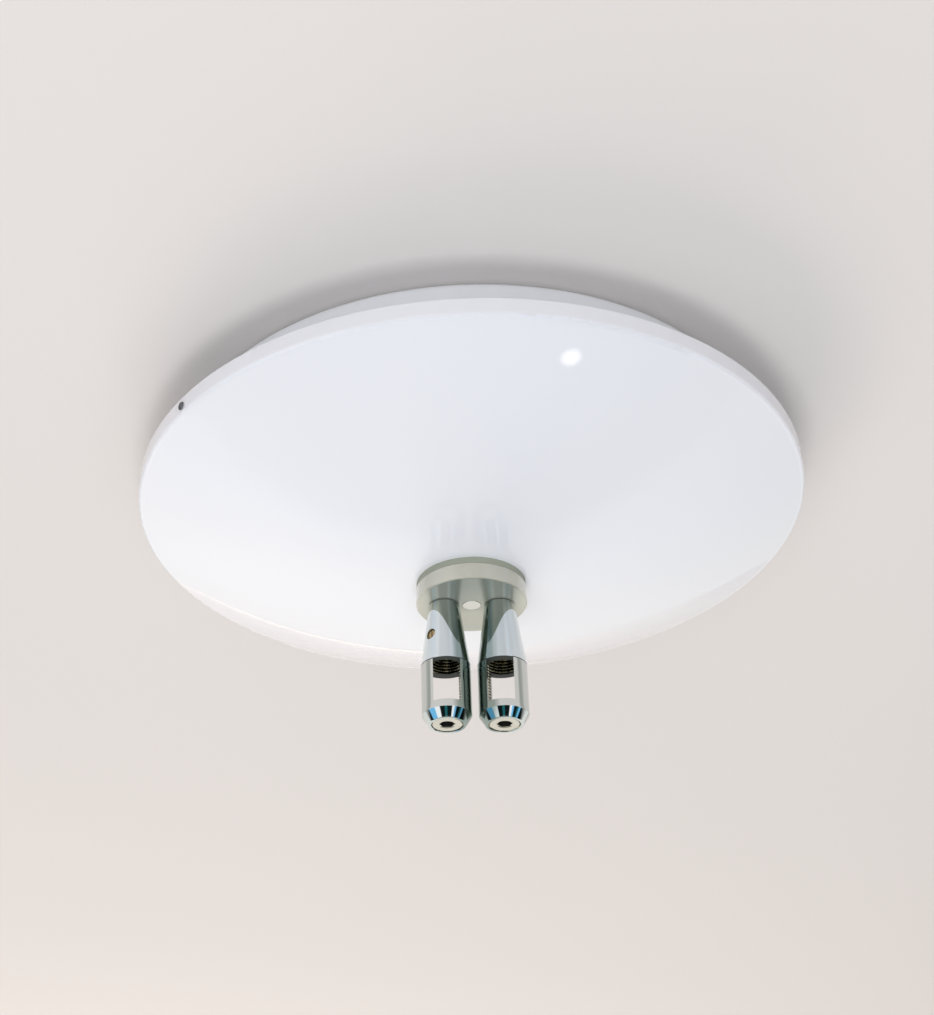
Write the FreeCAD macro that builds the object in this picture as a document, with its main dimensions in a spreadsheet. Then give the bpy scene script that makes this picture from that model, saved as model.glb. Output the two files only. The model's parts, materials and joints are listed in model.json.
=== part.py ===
import FreeCAD, Part
import math
import os
import re

import Sketcher

# A ceiling canopy that feeds a pair of low-voltage rails.
# Heights are depths below the ceiling, so a depth is written with a minus sign where it
# becomes a Z value. The origin is the centre of the ceiling face, and +Z points up.

SIZES = {
    # Mounting bar on the ceiling box
    "bar_end": (11, "mounting bar beyond each hanger stud"),
    "bar_width": (30, "mounting bar, width"),
    "bar_sheet": (2, "mounting bar, thickness"),
    "bar_entry_radius": (13, "wire hole in the middle of the bar"),
    "box_slot_near": (35, "near end of the box screw's travel, from the centre"),
    "box_slot_far": (44.45, "far end of the box screw's travel, from the centre"),
    "box_slot_radius": (2.6, "half width of the box screw slots"),
    # Hanger studs and their nuts
    "hanger_margin": (18, "hanger stud inside the edge of the pan's recess"),
    "hanger_radius": (2.5, "hanger stud"),
    "hanger_length": (13, "hanger stud below the bar"),
    "hanger_nut_flats": (8, "hanger nut across flats"),
    "hanger_nut_height": (4, "hanger nut height"),
    # Base pan
    "pan_radius": (133, "pan wall, outside"),
    "pan_depth": (36, "pan wall below the ceiling"),
    "pan_sheet": (1.2, "pan sheet thickness"),
    "pan_bend": (3, "outside bend at the pan's ceiling edge"),
    "pan_recess": (5.5, "pressed recess that clears the bar"),
    "recess_margin": (10, "flat outer ring of the pan, with its bend"),
    "recess_slope": (5, "radial width of the recess slope"),
    "entry_reach": (8, "wire entry behind the centre, away from the transformer"),
    "entry_radius": (10, "wire entry hole in the pan"),
    "bushing_wall": (1.6, "wall of the entry bushing"),
    "bushing_flange": (2.4, "flange of the entry bushing beyond its hole"),
    "bushing_lip": (1.2, "thickness of the bushing flange"),
    "bushing_length": (6, "bushing sleeve below its flange"),
    # Dome shield
    "rim_overhang": (19.5, "dome rim outside the pan wall"),
    "rim_top": (24.5, "upper edge of the rim below the ceiling"),
    "rim_band": (8.5, "height of the rim band"),
    "rim_corner": (1.8, "bend between the rim band and the bowl"),
    "dome_depth": (67, "flat seat of the dome below the ceiling"),
    "dome_sheet": (1.2, "dome sheet thickness"),
    "seat_radius": (27, "flat seat at the middle of the dome"),
    # Shield brackets and the screws that hold them
    "bracket_azimuth": (215, "direction of the first bracket and rim screw"),
    "bracket_count": (2, "brackets round the pan"),
    "bracket_width": (16, "bracket strip width"),
    "bracket_sheet": (1.5, "bracket strip thickness"),
    "bracket_top": (11, "upper end of the bracket on the pan wall"),
    "bracket_screw_depth": (16, "screw through the pan wall"),
    "bracket_drop": (0.3, "bracket arm below the rim's upper edge"),
    "wall_screw_radius": (1.7, "bracket screw shank"),
    "wall_screw_head": (3.2, "bracket screw head"),
    "wall_head_height": (1.8, "bracket screw head height"),
    "wall_screw_tail": (4, "bracket screw inside the pan wall"),
    "rim_screw_radius": (1.2, "rim screw shank"),
    "rim_screw_head": (1.9, "rim screw head"),
    "rim_head_height": (0.7, "rim screw head height"),
    "rim_screw_tail": (3, "rim screw inside its bracket"),
    # Transformer, a wound ring held by one bolt
    "coil_reach": (63, "transformer beside the centre"),
    "coil_radius": (49, "winding, outside"),
    "coil_bore": (19, "winding, hole radius"),
    "coil_height": (33, "winding, height"),
    "coil_corner": (8, "rounded edge of the winding"),
    "winding_wall": (5, "wire and tape round the core"),
    "cushion_sheet": (1.6, "neoprene cushion thickness"),
    "cushion_radius": (44, "neoprene cushion, outside"),
    "dish_radius": (40, "dished washer, outside"),
    "dish_sheet": (1.5, "dished washer thickness"),
    "dish_rim": (18, "start of the washer's flat rim"),
    "dish_flat": (10, "washer's flat middle"),
    "dish_rise": (4, "how far the washer's middle is dished up"),
    "bolt_radius": (3, "transformer bolt"),
    "bolt_head_radius": (6.5, "transformer bolt head"),
    "bolt_head_height": (2, "transformer bolt head height"),
    "bolt_tail": (2, "bolt thread past its nut"),
    "bolt_nut_flats": (10, "transformer nut across flats"),
    "bolt_nut_height": (5, "transformer nut height"),
    # Wiring pieces inside
    "block_x": (-62, "terminal block centre, X"),
    "block_y": (42, "terminal block centre, Y"),
    "block_length": (40, "terminal block length along X"),
    "block_width": (18, "terminal block width along Y"),
    "block_height": (14, "terminal block height"),
    "block_step": (5, "lower shelf that takes the wires"),
    "pole_pitch": (11, "terminal spacing"),
    "pole_count": (3, "terminals in the block"),
    "pole_radius": (2.3, "terminal screw head"),
    "pole_height": (1.6, "terminal screw above its shelf"),
    "breaker_x": (-62, "overload breaker centre, X"),
    "breaker_y": (-40, "overload breaker centre, Y"),
    "breaker_length": (34, "overload breaker length along X"),
    "breaker_width": (16, "overload breaker width along Y"),
    "breaker_height": (20, "overload breaker height"),
    "blade_length": (9, "breaker blade"),
    "blade_width": (6.3, "breaker blade width"),
    "blade_sheet": (0.8, "breaker blade thickness"),
    "blade_spread": (5, "blade from the breaker's middle"),
    "earth_x": (-30, "earth screw, X"),
    "earth_y": (72, "earth screw, Y"),
    "earth_radius": (2.1, "earth screw shank"),
    "earth_head": (4.2, "earth screw head"),
    "earth_height": (2.6, "earth screw head height"),
    "mains_lead_radius": (1.3, "mains lead"),
    "feed_lead_radius": (1.9, "low-voltage lead"),
    "earth_tail": (1, "earth screw above the pan"),
    "cut_over": (1, "how far a cut runs past a face"),
    "wall_cut": (10, "cut across an upright wall"),
    # Routes of the leads
    "block_run": (10, "mains lead's straight run into the terminal block"),
    "block_slack": (24, "mains lead's bend, from the block"),
    "block_spread": (4, "mains lead's bend, to one side"),
    "block_lift": (3, "mains lead's bend, above the middle of the ring"),
    "entry_drop": (2, "lead above the block's upper step"),
    "earth_run": (9, "earth lead's straight run out of the block"),
    "earth_slack": (10, "earth lead's bend, along the block"),
    "earth_spread": (2, "earth lead's bend, past its screw"),
    "earth_lift": (1, "earth lead's bend, above the block's step"),
    "blade_run": (9, "lead's straight run off a breaker blade"),
    "blade_slack": (16, "breaker lead's bend, from its blade"),
    "blade_out": (3, "breaker lead's bend, to one side"),
    "lug_run": (7, "lead's straight run into its ring terminal"),
    "lug_lift": (7, "lead's bend, above its ring terminal"),
    "left_slack": (18, "left feed lead's bend, from its ring terminal"),
    "left_turn_in": (12, "left feed lead's last bend, from its ring terminal"),
    "left_spread": (3, "left feed lead's bend, to one side"),
    "left_sag": (12, "left feed lead's bend, below its blade"),
    "right_slack": (15, "right feed lead's bend, from its ring terminal"),
    "right_turn_in": (11, "right feed lead's last bend, from its ring terminal"),
    "right_spread": (1, "right feed lead's bend, to one side"),
    "right_sag": (12, "right feed lead's bend, below the middle of the ring"),
    # Feed hub and what clamps it to the dome
    "gasket_radius": (24.7, "hub gasket"),
    "gasket_sheet": (3.4, "hub gasket thickness"),
    "hub_radius": (25, "feed hub"),
    "hub_height": (7.6, "feed hub height"),
    "hub_edge": (0.6, "bevel round the hub's lower edge"),
    "backing_radius": (24, "insulating backing plate"),
    "backing_sheet": (3, "backing plate thickness"),
    "hub_screw_radius": (2, "centre screw shank"),
    "hub_screw_head": (4.2, "centre screw head"),
    "hub_screw_tail": (1.5, "centre screw past its nut"),
    "hub_nut_flats": (7, "centre nut across flats"),
    "hub_nut_height": (3.2, "centre nut height"),
    # Feed studs
    "rail_spacing": (25, "between the two feed studs"),
    "stud_radius": (3, "feed stud"),
    "stud_collar": (5, "feed stud collar radius"),
    "collar_height": (1.5, "feed stud collar height"),
    "stud_reach": (21.2, "feed stud below the hub"),
    "groove_radius": (2.4, "stud groove for the set screw"),
    "groove_width": (4, "stud groove width"),
    "stud_tail": (1.2, "feed stud past its upper nut"),
    "sleeve_radius": (4.4, "insulating sleeve round the stud"),
    "sleeve_flange": (5.6, "insulating sleeve flange radius"),
    "sleeve_lip": (0.8, "insulating sleeve flange thickness"),
    "stud_nut_flats": (10, "feed stud nut across flats"),
    "stud_nut_height": (4.8, "feed stud nut height"),
    "lug_radius": (5, "ring terminal"),
    "lug_sheet": (1, "ring terminal thickness"),
    "lug_length": (15, "ring terminal, stud centre to crimp end"),
    "crimp_radius": (2.6, "ring terminal crimp"),
    "crimp_length": (7, "ring terminal crimp length"),
    # Rail barrels
    "barrel_top_radius": (6.85, "barrel at the hub"),
    "barrel_radius": (11.05, "barrel body"),
    "cone_length": (31, "tapered length of the barrel"),
    "body_length": (24, "straight length of the barrel"),
    "nose_length": (4.4, "chamfered nose of the barrel"),
    "nose_radius": (8.35, "flat end of the barrel"),
    "thread_radius": (6.95, "tapped bore of the barrel"),
    "window_width": (12, "rail window, width"),
    "window_height": (20.7, "rail window, height"),
    "left_turn": (0, "left barrel turned about its stud"),
    "right_turn": (170, "right barrel turned about its stud"),
    "set_screw_side": (-46, "set screw direction, from the window's front"),
    "set_screw_depth": (17.5, "set screw below the barrel's top"),
    "set_screw_radius": (2.5, "set screw"),
    "set_tip_radius": (1.2, "set screw tip"),
    "set_tip_length": (1.3, "set screw tip length"),
    # Rail clamp inside each barrel
    "screw_recess": (0.3, "clamp screw above the barrel's flat end"),
    "screw_length": (5.4, "clamp screw length"),
    "screw_edge": (0.5, "bevel on the clamp screw"),
    "key_flats": (6, "hex key across flats"),
    "key_depth": (3, "hex socket depth"),
    "pad_radius": (6.2, "clamp pad"),
    "pad_sheet": (1.5, "clamp pad thickness"),
    "spigot_radius": (1.5, "clamp pad spigot"),
    "spigot_length": (1.5, "clamp pad spigot length"),
    # Clearances
    "turn_gap": (0.3, "between faces that turn or slide on each other"),
    "run_gap": (0.08, "round a shaft that turns or slides in its hole"),
    "hole_gap": (0.15, "round a fastener in its hole"),
    "seat_gap": (0.2, "between a flat strip and a curved wall"),
}

# The two ways an arc can turn, and the mark of a half circle
LEFT, RIGHT, HALF = 1, -1, None

# Where a lead leaves the transformer ring and where it turns, back and sideways,
# as shares of the ring's radius.
MAINS_LEAVES, MAINS_TURNS = (0.78, 0.66), (1.1, 0.85)
BREAKER_LEAVES, BREAKER_TURNS = (0.8, -0.66), (1.1, -0.86)
FEED_LEAVES, FEED_TURNS = (0.93, -0.45), (1.08, -0.55)
BEND_SHARE = 0.45

# Levels below the ceiling that several pieces share
PAN_FLOOR = "(pan_recess + pan_sheet)"
RECESS_RADIUS = "(pan_radius - recess_margin - recess_slope)"
HANGER_REACH = f"({RECESS_RADIUS} - hanger_margin)"
COIL_TOP = f"({PAN_FLOOR} + cushion_sheet)"
COIL_END = f"({COIL_TOP} + coil_height)"
DISH_TOP = f"({COIL_END} + cushion_sheet)"
DISH_END = f"({DISH_TOP} + dish_sheet - dish_rise)"
RIM_RADIUS = "(pan_radius + rim_overhang)"
RIM_END = "(rim_top + rim_band)"
RIM_MIDDLE = "(rim_top + rim_band / 2)"
SEAT_INSIDE = "(dome_depth - dome_sheet)"
BACKING_TOP = f"({SEAT_INSIDE} - backing_sheet)"
SLEEVE_TOP = f"({BACKING_TOP} - sleeve_lip)"
LOWER_NUT_TOP = f"({SLEEVE_TOP} - stud_nut_height)"
LUG_TOP = f"({LOWER_NUT_TOP} - lug_sheet)"
UPPER_NUT_TOP = f"({LUG_TOP} - stud_nut_height)"
HUB_TOP = "(dome_depth + gasket_sheet)"
HUB_END = f"({HUB_TOP} + hub_height)"
BARREL_TOP = f"({HUB_END} + turn_gap)"
WINDOW_TOP = f"({BARREL_TOP} + cone_length)"
NOSE_TOP = f"({WINDOW_TOP} + body_length)"
BARREL_END = f"({NOSE_TOP} + nose_length)"
STUD_END = f"({HUB_END} + stud_reach)"
BORE_TOP = f"({STUD_END} + turn_gap)"
SET_SCREW = f"({BARREL_TOP} + set_screw_depth)"
SCREW_END = f"({BARREL_END} - screw_recess)"
SCREW_TOP = f"({SCREW_END} - screw_length)"
PAD_END = f"({SCREW_TOP} - turn_gap)"
PAD_TOP = f"({PAD_END} - pad_sheet)"
BOWL_CENTRE = (
    "((pow(pan_radius + rim_overhang - rim_corner; 2) + pow(rim_top + rim_band; 2)"
    " - pow(seat_radius; 2) - pow(dome_depth; 2)) / (2 * (rim_top + rim_band - dome_depth)))"
)
BOWL_RADIUS = f"sqrt(pow(seat_radius; 2) + pow(dome_depth - {BOWL_CENTRE}; 2))"

doc = FreeCAD.newDocument("RailFeedCanopy")
sheet = doc.addObject("Spreadsheet::Sheet", "Sizes")
for row, (alias, (amount, note)) in enumerate(SIZES.items(), start=1):
    sheet.set(f"A{row}", note)
    sheet.set(f"B{row}", str(amount))
    sheet.setAlias(f"B{row}", alias)
doc.recompute()


def bound(text):
    """The same expression, with each size read from the sheet."""
    return re.sub(r"[a-z][a-z_]*", lambda word: sheet_name(word.group()), text)


def sheet_name(word):
    return f"Sizes.{word}" if word in SIZES else word


def down(depth):
    """A depth below the ceiling as a Z value."""
    return f"-({depth})"


def amount_of(text):
    return float(sheet.evalExpression(bound(text)))


def origin_feature(body, role):
    return next(f for f in body.Origin.OriginFeatures if f.Role == role)


def new_body(label, x="0", y="0", z="0", turn="0"):
    """A body of its own, placed by expressions."""
    body = doc.addObject("PartDesign::Body", label)
    body.Label = label
    up = FreeCAD.Vector(0, 0, 1)
    spin = FreeCAD.Rotation(up, 0)
    body.Placement = FreeCAD.Placement(FreeCAD.Vector(0, 0, 0), spin)
    for axis, text in (("Base.x", x), ("Base.y", y), ("Base.z", z), ("Rotation.Angle", turn)):
        if text != "0":
            body.setExpression(f"Placement.{axis}", bound(text))
    return body


def new_sketch(body, role, at=("0", "0", "0"), turn="0", about=(0, 0, 1)):
    """An empty sketch on one of the body's own planes, shifted and turned by expressions."""
    sketch = body.newObject("Sketcher::SketchObject", body.Name + "_outline")
    sketch.AttachmentSupport = [(origin_feature(body, role), "")]
    sketch.MapMode = "FlatFace"
    spin = FreeCAD.Rotation(FreeCAD.Vector(*about), 0)
    sketch.AttachmentOffset = FreeCAD.Placement(FreeCAD.Vector(0, 0, 0), spin)
    for axis, text in zip(("Base.x", "Base.y", "Base.z"), at):
        if text != "0":
            sketch.setExpression(f"AttachmentOffset.{axis}", bound(text))
    if turn != "0":
        sketch.setExpression("AttachmentOffset.Rotation.Angle", bound(turn))
    return sketch


def fix_point(sketch, edge, end, x, y):
    """Ties one sketch point to the two expressions of its place."""
    if x == "0":
        sketch.addConstraint(Sketcher.Constraint("PointOnObject", edge, end, -2))
    else:
        index = sketch.addConstraint(
            Sketcher.Constraint("DistanceX", -1, 1, edge, end, amount_of(x))
        )
        sketch.setExpression(f"Constraints[{index}]", bound(x))
    if y == "0":
        sketch.addConstraint(Sketcher.Constraint("PointOnObject", edge, end, -1))
    else:
        index = sketch.addConstraint(
            Sketcher.Constraint("DistanceY", -1, 1, edge, end, amount_of(y))
        )
        sketch.setExpression(f"Constraints[{index}]", bound(y))


def arc_between(start, end, turn, radius):
    """The short arc between two points, anticlockwise when turn is LEFT."""
    chord = end - start
    reach = math.sqrt(max(radius * radius - chord.Length * chord.Length / 4, 0))
    side = FreeCAD.Vector(-chord.y, chord.x, 0).normalize()
    centre = (start + end) * 0.5 + side * (turn * reach)
    first, last = (start, end) if turn == LEFT else (end, start)
    circle = Part.Circle(centre, FreeCAD.Vector(0, 0, 1), radius)
    angles = [math.atan2(p.y - centre.y, p.x - centre.x) for p in (first, last)]
    return Part.ArcOfCircle(circle, angles[0], angles[1])


def closed_outline(sketch, corners, arcs=None):
    """Adds a closed outline. arcs gives the edge after a corner its turn and radius.

    A half circle has no radius of its own: its centre lies level with its ends.
    """
    arcs = arcs or {}
    points = [FreeCAD.Vector(amount_of(x), amount_of(y), 0) for x, y in corners]
    ends = []
    for i, start in enumerate(points):
        end = points[(i + 1) % len(points)]
        if i in arcs:
            turn, radius = arcs[i]
            size = (end - start).Length / 2 if radius is HALF else amount_of(radius)
            edge = sketch.addGeometry(arc_between(start, end, turn, size), False)
            ends.append((edge, 1, 2) if turn == LEFT else (edge, 2, 1))
        else:
            edge = sketch.addGeometry(Part.LineSegment(start, end), False)
            ends.append((edge, 1, 2))
    for i, (edge, _, finish) in enumerate(ends):
        following, begin, _ = ends[(i + 1) % len(ends)]
        sketch.addConstraint(
            Sketcher.Constraint("Coincident", edge, finish, following, begin)
        )
    for i, (x, y) in enumerate(corners):
        fix_point(sketch, ends[i][0], ends[i][1], x, y)
    for i, (_, radius) in arcs.items():
        edge = ends[i][0]
        if radius is HALF:
            level = corners[i][1]
            rule = Sketcher.Constraint("DistanceY", -1, 1, edge, 3, amount_of(level))
            sketch.setExpression(f"Constraints[{sketch.addConstraint(rule)}]", bound(level))
        else:
            rule = Sketcher.Constraint("Radius", edge, amount_of(radius))
            sketch.setExpression(f"Constraints[{sketch.addConstraint(rule)}]", bound(radius))


def circle_outline(sketch, x, y, radius):
    centre = FreeCAD.Vector(amount_of(x), amount_of(y), 0)
    circle = Part.Circle(centre, FreeCAD.Vector(0, 0, 1), amount_of(radius))
    edge = sketch.addGeometry(circle, False)
    fix_point(sketch, edge, 3, x, y)
    index = sketch.addConstraint(Sketcher.Constraint("Radius", edge, amount_of(radius)))
    sketch.setExpression(f"Constraints[{index}]", bound(radius))


def turned(body, corners, arcs=None, at=("0", "0", "0"), cavity=None):
    """A turned or spun form: an outline of radius and Z, revolved about its own axis."""
    sketch = new_sketch(body, "XZ_Plane", at)
    closed_outline(sketch, corners, arcs)
    if cavity:
        closed_outline(sketch, cavity)
    return revolved(body, sketch, "V_Axis")


def revolved(body, sketch, axis):
    form = body.newObject("PartDesign::Revolution", body.Name + "_turned")
    form.Profile = sketch
    form.ReferenceAxis = (sketch, [axis])
    form.Angle = 360
    return form


def raised(body, sketch, length, middle=False):
    form = body.newObject("PartDesign::Pad", body.Name + "_pad")
    form.Profile = sketch
    form.setExpression("Length", bound(length))
    form.Midplane = middle
    return form


def cut_out(body, sketch, length, middle=False, forwards=False):
    """A pocket against the sketch's normal, or along it when forwards is set."""
    doc.recompute()
    before = body.Shape.Volume
    form = body.newObject("PartDesign::Pocket", body.Name + "_pocket")
    form.Profile = sketch
    form.setExpression("Length", bound(length))
    form.Midplane = middle
    form.Reversed = forwards
    doc.recompute()
    if body.Shape.Volume >= before:
        raise RuntimeError(f"{body.Label}: a pocket took nothing away")
    return form


def drilled(body, depth, radius, length, spots=(("0", "0"),), turn="0"):
    """Round holes downwards from a depth below the ceiling."""
    sketch = new_sketch(body, "XY_Plane", ("0", "0", down(depth)), turn)
    for x, y in spots:
        circle_outline(sketch, x, y, radius)
    return cut_out(body, sketch, length)


def around(body, features, count):
    """Repeats features round the body's own Z axis."""
    pattern = body.newObject("PartDesign::PolarPattern", body.Name + "_ring")
    pattern.Originals = features
    pattern.Axis = (origin_feature(body, "Z_Axis"), [""])
    pattern.Angle = 360
    pattern.setExpression("Occurrences", bound(count))
    body.Tip = pattern
    return pattern


def hexagon(flats):
    """Corners of a hexagon about the sketch's origin."""
    corner = f"({flats}) / sqrt(3)"
    half = f"({flats}) / 2"
    return [
        (corner, "0"),
        (f"{corner} / 2", half),
        (f"-{corner} / 2", half),
        (f"-{corner}", "0"),
        (f"-{corner} / 2", f"-{half}"),
        (f"{corner} / 2", f"-{half}"),
    ]


def ring(inner, outer, top, end):
    """A plain washer section between two radii and two depths."""
    return [(outer, down(top)), (outer, down(end)), (inner, down(end)), (inner, down(top))]


def hex_nut(body, flats, bore, top, height, at=("0", "0")):
    """A hex nut with its bore, whose upper face is at a depth below the ceiling."""
    sketch = new_sketch(body, "XY_Plane", (at[0], at[1], down(f"{top} + {height}")))
    closed_outline(sketch, hexagon(flats))
    circle_outline(sketch, "0", "0", bore)
    return raised(body, sketch, height)


def bar_and_hangers():
    """The strip that screws to the ceiling box, and the studs pressed into it."""
    bar = new_body("mounting_bar")
    sketch = new_sketch(bar, "XY_Plane", ("0", "0", down("bar_sheet")))
    half_width = "bar_width / 2"
    half_length = f"({HANGER_REACH} + bar_end)"
    closed_outline(
        sketch,
        [
            (half_width, half_length),
            (f"-{half_width}", half_length),
            (f"-{half_width}", f"-{half_length}"),
            (half_width, f"-{half_length}"),
        ],
    )
    raised(bar, sketch, "bar_sheet")
    holes = new_sketch(bar, "XY_Plane")
    circle_outline(holes, "0", "0", "bar_entry_radius")
    for sign in ("", "-"):
        circle_outline(holes, "0", f"{sign}{HANGER_REACH}", "hanger_radius")
        slot_outline(holes, sign)
    cut_out(bar, holes, "bar_sheet")

    studs = new_body("hanger_studs")
    form = turned(
        studs,
        [
            ("0", "0"),
            ("hanger_radius - hole_gap / 2", "0"),
            ("hanger_radius - hole_gap / 2", down("bar_sheet + hanger_length")),
            ("0", down("bar_sheet + hanger_length")),
        ],
        at=("0", "0", HANGER_REACH),
    )
    around(studs, [form], "2")

    nuts = new_body("hanger_nuts")
    nut = hex_nut(
        nuts, "hanger_nut_flats", "hanger_radius", PAN_FLOOR, "hanger_nut_height", ("0", HANGER_REACH)
    )
    around(nuts, [nut], "2")


def slot_outline(sketch, sign):
    """A slot with round ends, along Y."""
    near, far = f"{sign}box_slot_near", f"{sign}box_slot_far"
    radius = "box_slot_radius"
    turn = RIGHT if sign else LEFT
    closed_outline(
        sketch,
        [(radius, near), (radius, far), (f"-{radius}", far), (f"-{radius}", near)],
        {1: (turn, HALF), 3: (turn, HALF)},
    )


def base_pan():
    """The pressed pan that stands on the ceiling and carries everything else."""
    pan = new_body("base_pan", turn="bracket_azimuth")
    inner_bend = "(pan_bend - pan_sheet)"
    slope = "(pan_radius - recess_margin)"
    turned(
        pan,
        [
            ("0", down("pan_recess")),
            (RECESS_RADIUS, down("pan_recess")),
            (slope, "0"),
            ("pan_radius - pan_bend", "0"),
            ("pan_radius", down("pan_bend")),
            ("pan_radius", down("pan_depth")),
            ("pan_radius - pan_sheet", down("pan_depth")),
            ("pan_radius - pan_sheet", down("pan_bend")),
            (f"pan_radius - pan_sheet - {inner_bend}", down("pan_sheet")),
            (f"{slope} + pan_sheet / 3", down("pan_sheet")),
            (f"{RECESS_RADIUS} + pan_sheet / 3", down(PAN_FLOOR)),
            ("0", down(PAN_FLOOR)),
        ],
        {3: (RIGHT, "pan_bend"), 7: (LEFT, inner_bend)},
    )
    through = f"{PAN_FLOOR} + cut_over"
    drilled(
        pan,
        "0",
        "entry_radius",
        through,
        [("-entry_reach", "0")],
        turn="-bracket_azimuth",
    )
    drilled(
        pan,
        "0",
        "hanger_radius + hole_gap",
        through,
        [("0", HANGER_REACH), ("0", f"-{HANGER_REACH}")],
        turn="-bracket_azimuth",
    )
    drilled(
        pan, "0", "bolt_radius + hole_gap", through, [("coil_reach", "0")], "-bracket_azimuth"
    )
    drilled(
        pan, "0", "earth_radius + hole_gap", through, [("earth_x", "earth_y")], "-bracket_azimuth"
    )
    side_holes(pan, "bracket_screw_depth", "wall_screw_radius + hole_gap", "pan_radius", "bracket_count")

    bushing = new_body("entry_bushing", x="-entry_reach")
    sleeve = "(entry_radius - hole_gap)"
    turned(
        bushing,
        [
            (f"{sleeve} - bushing_wall", down("pan_recess - bushing_lip")),
            (sleeve, down("pan_recess - bushing_lip")),
            (sleeve, down(PAN_FLOOR)),
            ("entry_radius + bushing_flange", down(PAN_FLOOR)),
            ("entry_radius + bushing_flange", down(f"{PAN_FLOOR} + bushing_lip")),
            (sleeve, down(f"{PAN_FLOOR} + bushing_lip + bushing_length / 3")),
            (f"{sleeve} - bushing_wall", down(f"{PAN_FLOOR} + bushing_length")),
        ],
    )


def side_holes(body, depth, radius, wall, count):
    """Round holes through an upright wall, spread round the body."""
    sketch = new_sketch(body, "YZ_Plane", ("0", "0", f"{wall} - wall_cut / 2"))
    circle_outline(sketch, "0", down(depth), radius)
    hole = cut_out(body, sketch, "wall_cut", forwards=True)
    around(body, [hole], count)


def dome_shield():
    """The spun dome: a rim band, one shallow bowl and a flat seat for the hub."""
    dome = new_body("dome_shield", turn="bracket_azimuth")
    inner = f"({RIM_RADIUS} - dome_sheet)"
    inside_bowl = f"({BOWL_RADIUS} - dome_sheet)"
    rim_foot = f"({BOWL_CENTRE} + sqrt(pow({inside_bowl}; 2) - pow({inner} - rim_corner / 2; 2)))"
    seat_edge = f"sqrt(pow({inside_bowl}; 2) - pow({SEAT_INSIDE} - {BOWL_CENTRE}; 2))"
    turned(
        dome,
        [
            ("0", down("dome_depth")),
            ("seat_radius", down("dome_depth")),
            (f"{RIM_RADIUS} - rim_corner", down(RIM_END)),
            (RIM_RADIUS, down(f"{RIM_END} - rim_corner")),
            (RIM_RADIUS, down("rim_top")),
            (inner, down("rim_top")),
            (inner, down(f"{RIM_END} - rim_corner")),
            (f"{inner} - rim_corner / 2", down(rim_foot)),
            (seat_edge, down(SEAT_INSIDE)),
            ("0", down(SEAT_INSIDE)),
        ],
        {1: (LEFT, BOWL_RADIUS), 2: (LEFT, "rim_corner"), 7: (RIGHT, inside_bowl)},
    )
    spots = [("rail_spacing / 2", "0"), ("-rail_spacing / 2", "0")]
    through = "dome_sheet + 2 * cut_over"
    drilled(
        dome, f"{SEAT_INSIDE} - cut_over", "sleeve_radius + hole_gap", through, spots, "-bracket_azimuth"
    )
    drilled(dome, f"{SEAT_INSIDE} - cut_over", "hub_screw_radius + hole_gap", through)
    side_holes(dome, RIM_MIDDLE, "rim_screw_radius + hole_gap", RIM_RADIUS, "bracket_count")


def shield_brackets():
    """Folded strips from the pan's wall to the dome's rim, with their screws."""
    brackets = new_body("shield_brackets", turn="bracket_azimuth")
    near = "(pan_radius + seat_gap)"
    far = f"({RIM_RADIUS} - dome_sheet - 2 * seat_gap)"
    arm = "(rim_top + bracket_drop)"
    profile = new_sketch(brackets, "XZ_Plane")
    closed_outline(
        profile,
        [
            (near, down("bracket_top")),
            (f"{near} + bracket_sheet", down("bracket_top")),
            (f"{near} + bracket_sheet", down(arm)),
            (far, down(arm)),
            (far, down(f"{RIM_END} - rim_corner")),
            (f"{far} - bracket_sheet", down(f"{RIM_END} - rim_corner")),
            (f"{far} - bracket_sheet", down(f"{arm} + bracket_sheet")),
            (near, down(f"{arm} + bracket_sheet")),
        ],
    )
    strip = raised(brackets, profile, "bracket_width", middle=True)
    features = [strip]
    holes = (
        (near, "bracket_screw_depth", "wall_screw_radius + hole_gap"),
        (f"({far} - bracket_sheet)", RIM_MIDDLE, "rim_screw_radius + hole_gap"),
    )
    for start, depth, radius in holes:
        sketch = new_sketch(brackets, "YZ_Plane", ("0", "0", f"{start} - cut_over"))
        circle_outline(sketch, "0", down(depth), radius)
        features.append(cut_out(brackets, sketch, "bracket_sheet + 2 * cut_over", forwards=True))
    around(brackets, features, "bracket_count")

    side_screws(
        "bracket_screws",
        "bracket_screw_depth",
        f"({near} + bracket_sheet)",
        "pan_sheet + seat_gap + bracket_sheet + wall_screw_tail",
        ("wall_screw_radius", "wall_screw_head", "wall_head_height"),
    )
    side_screws(
        "rim_screws",
        RIM_MIDDLE,
        f"({RIM_RADIUS} + seat_gap)",
        "dome_sheet + 3 * seat_gap + bracket_sheet + rim_screw_tail",
        ("rim_screw_radius", "rim_screw_head", "rim_head_height"),
    )


def side_screws(label, depth, seat, length, sizes):
    """Screws that point at the axis through an upright wall, heads outwards."""
    shank, head, height = sizes
    screws = new_body(label, turn="bracket_azimuth")
    sketch = new_sketch(screws, "XZ_Plane", ("0", down(depth), "0"))
    closed_outline(
        sketch,
        [
            (f"{seat} - ({length})", "0"),
            (f"{seat} - ({length})", shank),
            (seat, shank),
            (seat, head),
            (f"{seat} + {height} / 2", head),
            (f"{seat} + {height}", f"{head} * 2 / 3"),
            (f"{seat} + {height}", "0"),
        ],
    )
    around(screws, [revolved(screws, sketch, "H_Axis")], "bracket_count")


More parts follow.
